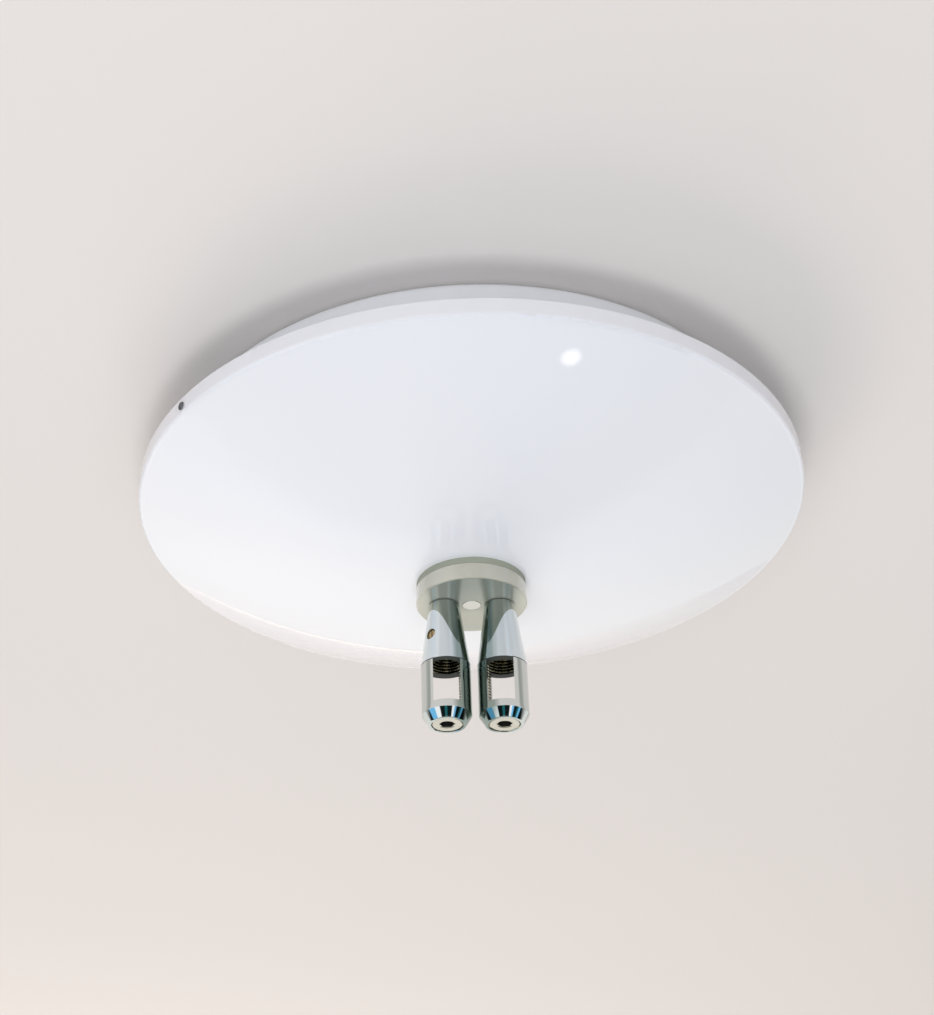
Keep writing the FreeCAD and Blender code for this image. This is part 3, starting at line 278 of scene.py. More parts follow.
def object_axes(tree):
    """X, Y and Z of a point in the piece's own coordinates."""
    place = tree.nodes.new("ShaderNodeTexCoord")
    parts = tree.nodes.new("ShaderNodeSeparateXYZ")
    tree.links.new(place.outputs["Object"], parts.inputs[0])
    return parts.outputs["X"], parts.outputs["Y"], parts.outputs["Z"]


def group_noise(group, given, **values):
    """Noise in the piece's own coordinates, at the scale that the group is given."""
    place = group.nodes.new("ShaderNodeTexCoord")
    noise = new_node(group, "ShaderNodeTexNoise", **values)
    group.links.new(place.outputs["Object"], noise.inputs["Vector"])
    group.links.new(given.outputs["Scale"], noise.inputs["Scale"])
    return noise.outputs["Fac"]


def raise_surface(group, given, result, relief):
    """Sends a relief out of its group, as a value and as a bumped normal."""
    bump = new_node(group, "ShaderNodeBump", Strength=1.0)
    group.links.new(given.outputs["Height"], bump.inputs["Distance"])
    group.links.new(relief, bump.inputs["Height"])
    group.links.new(relief, result.inputs["Value"])
    group.links.new(bump.outputs["Normal"], result.inputs["Normal"])


def shared_groups():
    """The effects that many finishes share."""
    value, vector = "NodeSocketFloat", "NodeSocketVector"
    group, given, result = new_group(
        "Fine grain", [("Scale", 900.0), ("Height", 0.00002)], [("Value", value), ("Normal", vector)])
    raise_surface(group, given, result, group_noise(group, given, Detail=4.0, Roughness=0.6))

    group, given, result = new_group("Edge wear", [("Amount", 0.5), ("Scale", 260.0)], [("Mask", value)])
    shape = group.nodes.new("ShaderNodeNewGeometry")
    noise = group_noise(group, given, Detail=5.0, Roughness=0.7)
    nearly_flat, contrast, least_wear = 0.52, 9.0, 0.35
    sharp = maths(group, "SUBTRACT", shape.outputs["Pointiness"], nearly_flat)
    edge = maths(group, "MULTIPLY", sharp, contrast)
    rough = maths(group, "MULTIPLY", edge, maths(group, "ADD", noise, least_wear))
    worn = maths(group, "MULTIPLY", rough, given.outputs["Amount"])
    group.links.new(maths(group, "MINIMUM", maths(group, "MAXIMUM", worn, 0.0), 1.0), result.inputs["Mask"])

    group, given, result = new_group("Settled dust", [("Amount", 0.4), ("Scale", 60.0)], [("Mask", value)])
    shape = group.nodes.new("ShaderNodeNewGeometry")
    noise = group_noise(group, given, Detail=6.0, Roughness=0.65)
    parts = group.nodes.new("ShaderNodeSeparateXYZ")
    group.links.new(shape.outputs["Normal"], parts.inputs[0])
    upward = maths(group, "MAXIMUM", parts.outputs["Z"], 0.0)
    lain = maths(group, "MULTIPLY", maths(group, "MULTIPLY", upward, noise), given.outputs["Amount"])
    group.links.new(maths(group, "MINIMUM", lain, 1.0), result.inputs["Mask"])

    group, given, result = new_group(
        "Turning marks", [("Scale", 2200.0), ("Height", 0.000002)], [("Value", value), ("Normal", vector)])
    _, _, z = object_axes(group)
    wave = new_node(group, "ShaderNodeTexNoise", noise_dimensions="1D", Detail=3.0)
    group.links.new(z, wave.inputs["W"])
    group.links.new(given.outputs["Scale"], wave.inputs["Scale"])
    raise_surface(group, given, result, wave.outputs["Fac"])


def use_group(tree, name, **values):
    node = tree.nodes.new("ShaderNodeGroup")
    node.node_tree = bpy.data.node_groups[name]
    for label, value in values.items():
        node.inputs[label].default_value = value
    return node


def finish(name, base, other, rough, metal=0.0, patch=40.0, spread=0.08, grain=900.0, height=0.00001,
           wear=None, worn=(0.7, 0.7, 0.7), dust=0.0, marks=None, **sockets):
    """A finish with two tones in soft patches, uneven roughness, fine grain, edge wear and dust."""
    material = bpy.data.materials.new(name)
    material.use_nodes = True
    tree = material.node_tree
    shader = tree.nodes["Principled BSDF"]
    shader.inputs["Metallic"].default_value = metal
    for label, value in sockets.items():
        shader.inputs[label.replace("_", " ")].default_value = value
    place = tree.nodes.new("ShaderNodeTexCoord")
    noise = new_node(tree, "ShaderNodeTexNoise", Scale=patch, Detail=3.0, Roughness=0.55)
    tree.links.new(place.outputs["Object"], noise.inputs["Vector"])
    tone = mixed(tree, ramp(tree, noise.outputs["Fac"], [(0.3, 0.0), (0.7, 1.0)]), base, other)
    if wear:
        edge = use_group(tree, "Edge wear", Amount=wear)
        tone = mixed(tree, edge.outputs["Mask"], tone, worn)
    if dust:
        lain = use_group(tree, "Settled dust", Amount=dust)
        tone = mixed(tree, lain.outputs["Mask"], tone, (0.55, 0.53, 0.5))
    tree.links.new(tone, shader.inputs["Base Color"])
    if marks:
        fine = use_group(tree, "Turning marks", Scale=marks, Height=height)
    else:
        fine = use_group(tree, "Fine grain", Scale=grain, Height=height)
    uneven = maths(tree, "MULTIPLY_ADD", fine.outputs["Value"], spread, rough - spread / 2)
    tree.links.new(uneven, shader.inputs["Roughness"])
    tree.links.new(fine.outputs["Normal"], shader.inputs["Normal"])
    return material


def tint(material, mask, colour, blend="MIX"):
    """Lays one more colour over a finish where the mask is bright."""
    tree = material.node_tree
    base = tree.nodes["Principled BSDF"].inputs["Base Color"]
    tree.links.new(mixed(tree, mask, base.links[0].from_socket, colour, blend), base)


def tape_finish(s):
    """Cloth tape lapped round a ring, with resin worked into the laps."""
    material = finish("Taped winding", (0.62, 0.5, 0.2), (0.5, 0.38, 0.14), 0.45, grain=1500.0,
                      height=0.00003)
    tree = material.node_tree
    x, y, _ = object_axes(tree)
    laps_per_radian = 7.0
    angle = maths(tree, "ARCTAN2", y, maths(tree, "SUBTRACT", x, s.coil_place))
    lap = maths(tree, "FRACT", maths(tree, "MULTIPLY", angle, laps_per_radian))
    shade = ramp(tree, lap, [(0.0, 0.35), (0.08, 1.0), (0.9, 1.0), (1.0, 0.5)])
    tint(material, 1.0, shade, "MULTIPLY")
    return material


def hub_finish(s):
    """Frosted plastic, with painted green-grey shade on the near part of its underside between the barrels.
    """
    material = finish("Frosted hub", (0.62, 0.60, 0.51), (0.55, 0.54, 0.46), 0.22, metal=0.25, patch=60.0,
                      spread=0.08, grain=1400.0, height=0.000003, Coat_Weight=0.8, Coat_Roughness=0.04)
    tree = material.node_tree
    x, y, z = object_axes(tree)
    last_mm, hub_width = 0.001, 0.05
    low = maths(tree, "MULTIPLY_ADD", z, -1 / last_mm, 1 - s.hub_end / last_mm)
    under = ramp(tree, low, [(0.6, 0.0), (0.95, 1.0)])
    near = ramp(tree, maths(tree, "MULTIPLY_ADD", y, 1 / hub_width, 0.5),
                [(0.12, 1.0), (0.42, 0.75), (0.66, 0.0)])
    beside = ramp(tree, maths(tree, "MULTIPLY", maths(tree, "ABSOLUTE", x), 2 / hub_width),
                  [(0.6, 1.0), (0.92, 0.1)])
    # Painted shade: the underside's near part between the barrels is tinted dark green-grey.
    tint(material, maths(tree, "MULTIPLY", maths(tree, "MULTIPLY", under, near), beside), (0.27, 0.30, 0.26))
    return material


def bore_finish(s):
    """A tapped bore painted near black as painted shade inside it, with painted bright glints on its crests.
    """
    material = finish("Tapped bore", (0.028, 0.036, 0.028), (0.045, 0.05, 0.04), 0.26, metal=1.0, spread=0.2,
                      patch=300.0)
    tree = material.node_tree
    x, y, _ = object_axes(tree)
    side = maths(tree, "SUBTRACT", maths(tree, "ABSOLUTE", x), s.rail_spacing / 2)
    squares = maths(tree, "ADD", maths(tree, "MULTIPLY", side, side), maths(tree, "MULTIPLY", y, y))
    per_centimetre = 100.0
    reach = maths(tree, "MULTIPLY", maths(tree, "SQRT", squares), per_centimetre)
    # Painted glint: faces within 7.0 mm of the barrel's axis, the thread crests, turn beige.
    tint(material, ramp(tree, reach, [(0.700, 1.0), (0.728, 0.0)]), (0.92, 0.86, 0.68))
    return material


def chrome_finish(s):
    """Polished chrome with a slight painted green-grey cast, painted dark reflection bands near the edges of
    its straight sides, and painted shade on the sides that face the other barrel.
    """
    # The base colour's slight green-grey cast is a painted reflection of the shaded ceiling.
    material = finish("Chrome", (0.72, 0.755, 0.745), (0.69, 0.73, 0.72), 0.05, metal=1.0, spread=0.03,
                      marks=1500.0, height=0.0000004)
    tree = material.node_tree
    x, _, z = object_axes(tree)
    slack = 0.0001
    depth = maths(tree, "MULTIPLY", z, -1.0)
    straight = maths(tree, "MULTIPLY", maths(tree, "GREATER_THAN", depth, s.barrel_window - slack),
                     maths(tree, "LESS_THAN", depth, s.barrel_nose + slack))
    # Painted reflection: near the edges of the straight part the colour is darkened green-grey.
    view = new_node(tree, "ShaderNodeLayerWeight", Blend=0.5)
    band = ramp(tree, view.outputs["Facing"],
                [(0.28, 0.0), (0.33, 0.6), (0.41, 0.45), (0.48, 0.06), (1.0, 0.15)])
    tint(material, maths(tree, "MULTIPLY", straight, band), (0.13, 0.18, 0.155))
    # Painted shade: the sides that face the other barrel are darkened green-grey.
    steepness = 60.0
    inwards = maths(tree, "SUBTRACT", s.rail_spacing / 2, maths(tree, "ABSOLUTE", x))
    between = ramp(tree, maths(tree, "MULTIPLY", inwards, steepness), [(0.13, 0.0), (0.3, 0.7)])
    tint(material, between, (0.15, 0.22, 0.19))
    return material


def spangle_finish():
    """Zinc with its crystal spangle."""
    material = finish("Zinc steel", (0.62, 0.64, 0.66), (0.52, 0.54, 0.57), 0.36, metal=1.0, spread=0.16,
                      wear=0.5, dust=0.5)
    tree = material.node_tree
    place = tree.nodes.new("ShaderNodeTexCoord")
    cells = new_node(tree, "ShaderNodeTexVoronoi", Scale=180.0)
    tree.links.new(place.outputs["Object"], cells.inputs["Vector"])
    flake = tree.nodes.new("ShaderNodeSeparateColor")
    tree.links.new(cells.outputs["Color"], flake.inputs[0])
    shade = ramp(tree, flake.outputs["Red"], [(0.0, 0.78), (1.0, 1.0)])
    tint(material, 1.0, shade, "MULTIPLY")
    return material


def build_finishes(s):
    """Every finish of the object, by its name in the record or on a dressed piece."""
    shared_groups()
    return {
        "zinc_steel": spangle_finish(),
        "white_enamel": finish("White enamel", (0.875, 0.885, 0.935), (0.86, 0.87, 0.925), 0.36, patch=9.0,
                               spread=0.05, grain=500.0, height=0.000004, wear=0.15, worn=(0.6, 0.62, 0.66),
                               dust=0.35, Coat_Weight=1.0, Coat_Roughness=0.025),
        "white_powder": finish("White powder coat", (0.93, 0.95, 0.98), (0.91, 0.93, 0.965), 0.42, patch=14.0,
                               grain=1600.0, height=0.00002, wear=0.2, worn=(0.6, 0.62, 0.66), dust=0.5),
        "dark_steel": finish("Blackened screw", (0.10, 0.105, 0.115), (0.14, 0.145, 0.155), 0.38, metal=0.7,
                             wear=0.9, worn=(0.3, 0.3, 0.3)),
        "taped_winding": tape_finish(s),
        "core_steel": finish("Core steel", (0.2, 0.2, 0.21), (0.14, 0.14, 0.15), 0.4, metal=1.0,
                             marks=5200.0, height=0.00001),
        "black_rubber": finish("Black rubber", (0.022, 0.022, 0.024), (0.034, 0.034, 0.034), 0.7,
                               grain=2400.0, height=0.00003, dust=0.4),
        "white_nylon": finish("White nylon", (0.78, 0.77, 0.72), (0.72, 0.71, 0.66), 0.4, dust=0.3,
                              Subsurface_Weight=0.08),
        "black_nylon": finish("Black nylon", (0.025, 0.025, 0.027), (0.035, 0.035, 0.036), 0.45, wear=0.4,
                              worn=(0.1, 0.1, 0.1), dust=0.3),
        "brass": finish("Brass", (0.50, 0.37, 0.2), (0.38, 0.27, 0.14), 0.3, metal=1.0, spread=0.14,
                        patch=240.0, wear=0.4, worn=(0.82, 0.68, 0.4)),
        "green_screw": finish("Green earth screw", (0.05, 0.32, 0.12), (0.04, 0.25, 0.1), 0.35, metal=0.5,
                              wear=0.8, worn=(0.5, 0.5, 0.4)),
        "black_lead": finish("Black lead", (0.02, 0.02, 0.02), (0.03, 0.03, 0.03), 0.45, dust=0.25),
        "green_lead": finish("Green lead", (0.03, 0.26, 0.09), (0.03, 0.2, 0.07), 0.45, dust=0.25),
        "blue_lead": finish("Blue lead", (0.03, 0.09, 0.4), (0.03, 0.07, 0.32), 0.45, dust=0.25),
        "red_lead": finish("Red lead", (0.45, 0.03, 0.03), (0.36, 0.02, 0.02), 0.45, dust=0.25),
        "olive_gasket": finish("Olive gasket", (0.40, 0.42, 0.34), (0.34, 0.36, 0.29), 0.6, grain=1800.0,
                               height=0.00003),
        "frosted_hub": hub_finish(s),
        "fibre_board": finish("Fibre board", (0.34, 0.19, 0.09), (0.28, 0.15, 0.07), 0.6, patch=300.0,
                              grain=2600.0, height=0.00003),
        "stainless": finish("Stainless steel", (0.80, 0.77, 0.71), (0.74, 0.71, 0.66), 0.2, metal=1.0,
                            wear=0.3, worn=(0.8, 0.8, 0.8)),
        "tinned_copper": finish("Tinned copper", (0.68, 0.68, 0.68), (0.60, 0.58, 0.56), 0.3, metal=1.0,
                                wear=0.6, worn=(0.75, 0.48, 0.32)),
        "chrome": chrome_finish(s),
        "tapped_bore": bore_finish(s),
        # Near black: painted shade in the clamp screws' hex sockets.
        "key_socket": finish("Key socket", (0.012, 0.013, 0.011), (0.02, 0.02, 0.018), 0.6),
        # Near black: painted shade and reflection for the window's top cut faces.
        "window_lip": finish("Window lip", (0.02, 0.026, 0.02), (0.014, 0.018, 0.014), 0.5),
        "nickel": finish("Nickel", (0.78, 0.73, 0.64), (0.72, 0.67, 0.58), 0.26, metal=1.0, spread=0.1,
                         patch=200.0, wear=0.5, worn=(0.9, 0.87, 0.8)),
    }


FINISHES = {}


# Modelling helpers

def deselect():
    if bpy.context.object and bpy.context.object.mode != "OBJECT":
        bpy.ops.object.mode_set(mode="OBJECT")
    bpy.ops.object.select_all(action="DESELECT")


def outline_object(name, points):
    """A chain of edges in the XZ plane from pairs of radius and depth."""
    mesh = bpy.data.meshes.new(name)
    vertices = [(radius, 0.0, -depth) for radius, depth in points]
    mesh.from_pydata(vertices, [(i, i + 1) for i in range(len(vertices) - 1)], [])
    piece = bpy.data.objects.new(name, mesh)
    bpy.context.scene.collection.objects.link(piece)
    deselect()
    piece.select_set(True)
    bpy.context.view_layer.objects.active = piece
    return piece


def spun(name, points, steps):
    """An outline turned about Z into a closed solid."""
    piece = outline_object(name, points)
    bpy.ops.object.mode_set(mode="EDIT")
    bpy.ops.mesh.select_all(action="SELECT")
    bpy.ops.mesh.spin(steps=steps, angle=math.tau, center=(0, 0, 0), axis=(0, 0, 1))
    bpy.ops.mesh.select_all(action="SELECT")
    bpy.ops.mesh.remove_doubles(threshold=1e-6)
    bpy.ops.mesh.normals_make_consistent(inside=False)
    bpy.ops.object.mode_set(mode="OBJECT")
    return piece


def in_steps(start, end, step):
    """Depths from start to end, evenly spaced and no further apart than step."""
    count = max(1, round(abs(end - start) / step))
    return [start + (end - start) * i / count for i in range(count + 1)]


# How wide a thread's groove is at its root, and how steep its flanks are
GROOVE_FLAT = 1.25
GROOVE_FLANK = 3.2


def cut_thread(piece, crest, depth, pitch, top, end):
    """Shapes a right-handed thread into one turned face: depth is outwards, or inwards below 0."""
    for vertex in piece.data.vertices:
        x, y, z = vertex.co
        if abs(math.hypot(x, y) - crest) > 1e-5 or not top < -z < end:
            continue
        phase = (z / pitch - math.atan2(y, x) / math.tau) % 1.0
        groove = min(1.0, max(0.0, GROOVE_FLAT - abs(phase - 0.5) * GROOVE_FLANK))
        fade = min(1.0, (-z - top) / pitch, (end + z) / (0.5 * pitch))
        scale = (crest + depth * groove * fade) / crest
        vertex.co = (x * scale, y * scale, z)


def prism(name, sides, radius, length, matrix):
    """A cutter with that many sides, its axis along its own Z."""
    deselect()
    bpy.ops.mesh.primitive_cylinder_add(vertices=sides, radius=radius, depth=length)
    cutter = bpy.context.object
    cutter.name = name
    cutter.data.transform(matrix)
    return cutter


def block(name, size, matrix):
    """A box cutter."""
    deselect()
    bpy.ops.mesh.primitive_cube_add(size=1.0)
    cutter = bpy.context.object
    cutter.name = name
    cutter.data.transform(matrix @ Matrix.Diagonal((*size, 1.0)))
    return cutter


def cut(piece, cutters):
    """Takes the cutters away from the piece and removes them."""
    for cutter in cutters:
        deselect()
        piece.select_set(True)
        bpy.context.view_layer.objects.active = piece
        before = len(piece.data.polygons)
        step = piece.modifiers.new("Cut", "BOOLEAN")
        step.operation = "DIFFERENCE"
        step.solver = "EXACT"
        step.object = cutter
        bpy.ops.object.modifier_apply(modifier=step.name)
        if len(piece.data.polygons) == before:
            raise RuntimeError(f"{piece.name}: a cut took nothing away")
        bpy.data.objects.remove(cutter)


def rounded(piece, angle=30.0):
    """Smooth faces with sharp edges kept."""
    deselect()
    piece.select_set(True)
    bpy.context.view_layer.objects.active = piece
    bpy.ops.object.shade_smooth_by_angle(angle=math.radians(angle))
    even = piece.modifiers.new("Flat faces stay flat", "WEIGHTED_NORMAL")
    even.keep_sharp = True
    even.weight = 90


def settle(piece, node, body, materials):
    """Gives the piece its finishes and its body, and hides the node that it stands for."""
    piece.data.materials.clear()
    for name in materials:
        piece.data.materials.append(FINISHES[name])
    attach(piece, body)
    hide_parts(node)


def centre_of(settings, side):
    return Vector((settings.rail_spacing / 2 * (-1 if side == "left" else 1), 0, 0))


def placed(settings, side):
    """Where a barrel's own axis and front are."""
    turn = settings.right_turn if side == "right" else 0.0
    return Matrix.Translation(centre_of(settings, side)) @ Matrix.Rotation(turn, 4, "Z")


def along(direction):
    """A matrix that turns +Z to a direction."""
    return direction.to_track_quat("Z", "Y").to_matrix().to_4x4()


# Operators

class RAILFEED_OT_finishes(bpy.types.Operator):
    """Builds the finishes and gives them to the pieces that come from the frame."""
    bl_idname = "railfeed.finishes"
    bl_label = "Finishes"

    def execute(self, context):
        FINISHES.update(build_finishes(context.scene.rail_feed))
        slots = {part["node"]: part["material_slot"] for part in frame["record"]["subparts"]}
        for name, node in frame["nodes"].items():
            for slot in node.material_slots:
                slot.material = FINISHES[slots[name]]
        return {"FINISHED"}


class RAILFEED_OT_barrels(bpy.types.Operator):
    """Two tapered barrels, each with its rail window, tapped bore and set screw hole."""
    bl_idname = "railfeed.barrels"
    bl_label = "Barrels"

    def execute(self, context):
        s = context.scene.rail_feed
        edge, slack = 0.00022, 0.0001
        taper_rings, body_rings, thread_start = 0.0026, 0.0024, 0.0006
        slope = (s.body_radius - s.top_radius) / (s.barrel_window - s.barrel_top)
        outside = [(s.stud_bore, s.barrel_top), (s.top_radius - edge, s.barrel_top)]
        outside += [
            (s.top_radius + slope * (depth - s.barrel_top), depth)
            for depth in in_steps(s.barrel_top + edge, s.barrel_window - edge, taper_rings)
        ]
        outside += [
            (s.body_radius, depth)
            for depth in in_steps(s.barrel_window + edge, s.barrel_nose - edge, body_rings)
        ]
        drop = (s.nose_radius - s.body_radius) / (s.barrel_end - s.barrel_nose)
        outside += [
            (s.body_radius + drop * edge * 0.7, s.barrel_nose + edge),
            (s.nose_radius - drop * edge, s.barrel_end - edge),
            (s.nose_radius - edge, s.barrel_end),
            (s.bore_radius + edge, s.barrel_end),
        ]
        bore = [(s.bore_radius, depth) for depth in in_steps(s.barrel_end - edge, s.bore_top, s.pitch / 10)]
        points = outside + bore + [(s.stud_bore, s.bore_top), (s.stud_bore, s.barrel_top)]
        for side in SIDES:
            piece = spun(f"{side}_tapped_barrel", points, s.turn_steps)
            cut_thread(piece, s.bore_radius, s.thread_depth, s.pitch, s.bore_top + thread_start, s.barrel_end)
            middle = s.barrel_window + s.window_height / 2
            through = 0.04
            window = block("window cutter", (s.window_width, through, s.window_height),
                           Matrix.Translation((0, 0, -middle)))
            aim = Vector((math.cos(s.tapped_side), math.sin(s.tapped_side), 0))
            hole_length, hole_middle = 0.012, 0.0085
            hole_place = aim * hole_middle + Vector((0, 0, -s.tapped_depth))
            hole = prism("set screw cutter", SMALL_STEPS, s.tapped_radius, hole_length,
                         Matrix.Translation(hole_place) @ along(aim))
            cut(piece, [window, hole])
            piece.data.transform(placed(s, side))
            rounded(piece)
            settle(piece, f"{side}_barrel", f"{side}_barrel",
                   ("chrome", "tapped_bore", "window_lip"))
            centre = centre_of(s, side)
            axis = placed(s, side).to_3x3() @ aim
            for face in piece.data.polygons:
                reach = math.hypot(face.center.x - centre.x, face.center.y - centre.y)
                depth = -face.center.z
                inner = reach < s.bore_radius + s.thread_depth + slack
                # The window's top cut faces get the near-black painted shade and reflection.
                if abs(depth - s.barrel_window) < slack / 2:
                    face.material_index = 2
                elif inner and s.bore_top - edge < depth < s.barrel_end - edge:
                    face.material_index = 1
                # The set screw hole's walls take the bore's near-black painted shade too.
                elif abs(depth - s.tapped_depth) < s.tapped_radius and abs(face.normal.dot(axis)) < 0.01:
                    across = (face.center - centre).cross(axis)
                    face.material_index = int(math.hypot(across.x, across.y) < s.tapped_radius)
        return {"FINISHED"}


class RAILFEED_OT_clamp_screws(bpy.types.Operator):
    """The two threaded clamp screws with their hex sockets."""
    bl_idname = "railfeed.clamp_screws"
    bl_label = "Clamp screws"

    def execute(self, context):
        s = context.scene.rail_feed
        bevel, mouth_bevel, slack = 0.0005, 0.0004, 0.00001
        stem_depth, stem_radius, socket_skin = 0.0015, 0.00158, 0.001
        corner = s.key_flats / math.sqrt(3)
        mouth = corner + mouth_bevel / 2
        points = [(0.0, s.screw_top + stem_depth), (stem_radius, s.screw_top + stem_depth)]
        points += [(stem_radius, s.screw_top)]
        points += [(s.screw_radius - bevel, s.screw_top)]
        points += [
            (s.screw_radius, depth)
            for depth in in_steps(s.screw_top + bevel, s.screw_end - bevel, s.pitch / 10)
        ]
        points += [
            (s.screw_radius - bevel * 0.8, s.screw_end - bevel * 0.1),
            (s.screw_radius - bevel, s.screw_end),
            (mouth, s.screw_end),
            (mouth - mouth_bevel, s.screw_end - mouth_bevel),
            (0.0, s.screw_end - mouth_bevel),
        ]
        for side in SIDES:
            piece = spun(f"{side}_threaded_screw", points, s.turn_steps)
            cut_thread(piece, s.screw_radius, -s.thread_depth, s.pitch, s.screw_top, s.screw_end)
            socket = prism("key cutter", 6, corner, s.key_depth,
                           Matrix.Translation((0, 0, -s.screw_end + s.key_depth / 2))
                           @ Matrix.Rotation(math.radians(30), 4, "Z"))
            cut(piece, [socket])
            piece.data.transform(placed(s, side))
            rounded(piece)
            settle(piece, f"{side}_clamp_screw", f"{side}_screw", ("nickel", "key_socket"))
            centre = centre_of(s, side)
            upper, lower = s.screw_top + socket_skin, s.screw_end - mouth_bevel - slack
            for face in piece.data.polygons:
                reach = math.hypot(face.center.x - centre.x, face.center.y - centre.y)
                # The socket's faces get the near-black painted shade.
                if reach < mouth and upper < -face.center.z < lower:
                    face.material_index = 1
        return {"FINISHED"}


class RAILFEED_OT_set_screws(bpy.types.Operator):
    """The slotted brass screw in each barrel that runs in its stud's groove."""
    bl_idname = "railfeed.set_screws"
    bl_label = "Set screws"

    def execute(self, context):
        s = context.scene.rail_feed
        tip, end, bevel, clearance = 0.00252, 0.0082, 0.0005, 0.000075
        tip_radius, tip_length, slack = 0.0012, 0.0013, 0.0001
        pitch, thread_depth = 0.0008, 0.0003
        slot_width, slot_length, slot_depth = 0.0006, 0.006, 0.0008
        radius = s.tapped_radius - clearance
        shoulder = tip + tip_length
        points = [(0.0, -tip), (tip_radius, -tip), (radius, -shoulder)]
        points += [(radius, -depth) for depth in in_steps(shoulder + 2 * slack, end - bevel, pitch / 8)]
        points += [(radius - bevel, -end), (0.0, -end)]
        aim = Vector((math.cos(s.tapped_side), math.sin(s.tapped_side), 0))
        for side in SIDES:
            piece = spun(f"{side}_slotted_set_screw", points, SMALL_STEPS)
            cut_thread(piece, radius, -thread_depth, pitch, -end, -shoulder - slack)
            slot = block("slot cutter", (slot_width, slot_length, 2 * slot_depth),
                         Matrix.Translation((0, 0, end)))
            cut(piece, [slot])
            piece.data.transform(
                placed(s, side) @ Matrix.Translation((0, 0, -s.tapped_depth)) @ along(aim))
            rounded(piece)
            settle(piece, f"{side}_set_screw", f"{side}_barrel", ("brass",))
        return {"FINISHED"}


class RAILFEED_OT_hub_screw(bpy.types.Operator):
    """The smooth countersunk screw in the middle of the hub."""
    bl_idname = "railfeed.hub_screw"
    bl_label = "Hub screw"

    def execute(self, context):
        s = context.scene.rail_feed
        shank, head, top, edge = 0.002, 0.0042, 0.0581, 0.0002
        pitch, thread_depth = 0.0007, 0.0004
        end = s.hub_end
        cone = end - head + shank
        points = [(0.0, top)]
        points += [(shank, depth) for depth in in_steps(top + edge, cone, pitch / 8)]
        points += [(head, end - edge), (head - edge, end), (0.0, end)]
        piece = spun("smooth_hub_screw", points, 2 * SMALL_STEPS)
        cut_thread(piece, shank, -thread_depth, pitch, top, cone - thread_depth)
        rounded(piece)
        settle(piece, "hub_screw", "root", ("stainless",))
        return {"FINISHED"}


class RAILFEED_OT_side_screws(bpy.types.Operator):
    """The small screws round the rim and the pan wall, with their slots."""
    bl_idname = "railfeed.side_screws"
    bl_label = "Side screws"

    def execute(self, context):
        s = context.scene.rail_feed
        self.ring(s, "slotted_rim_screws", "rim_screws", "dark_steel", seat=s.rim_seat,
                  depth=s.rim_screw_depth, length=s.rim_screw_length, shank=0.0012, head=0.0019,
                  height=0.0007)
        self.ring(s, "slotted_bracket_screws", "bracket_screws", "zinc_steel", seat=s.wall_seat,
                  depth=s.wall_screw_depth, length=s.wall_screw_length, shank=0.0017, head=0.0032,
                  height=s.wall_head_height)
        return {"FINISHED"}

    def ring(self, s, name, node, slot, seat, depth, length, shank, head, height):
        """One slotted screw, repeated round the axis."""
        pitch, thread_depth, start = 0.0006, 0.00025, 0.0003
        tip = seat - length
        points = [(0.0, -tip)]
        points += [(shank, -reach) for reach in in_steps(tip + start, seat, pitch / 8)]
        points += [
            (head, -seat),
            (head, -seat - height * 0.45),
            (head * 0.86, -seat - height * 0.8),
            (head * 0.6, -seat - height),
            (0.0, -seat - height),
        ]
        piece = spun(name, points, 32)
        cut_thread(piece, shank, -thread_depth, pitch, -seat, -tip)
        groove = block("slot cutter", (head * 0.24, head * 3, height),
                       Matrix.Translation((0, 0, seat + height)))
        cut(piece, [groove])
        first = Vector((math.cos(s.rim_bearing), math.sin(s.rim_bearing), 0))
        piece.data.transform(Matrix.Translation((0, 0, -depth)) @ along(first))
        deselect()
        piece.select_set(True)
        bpy.context.view_layer.objects.active = piece
        bpy.ops.object.mode_set(mode="EDIT")
        for _ in range(s.rim_screw_count - 1):
            bpy.ops.mesh.select_linked()
            bpy.ops.mesh.duplicate()
            bpy.ops.transform.rotate(
                value=math.tau / s.rim_screw_count, orient_axis="Z", center_override=(0, 0, 0))
        bpy.ops.object.mode_set(mode="OBJECT")
        rounded(piece)
        settle(piece, node, "root", (slot,))


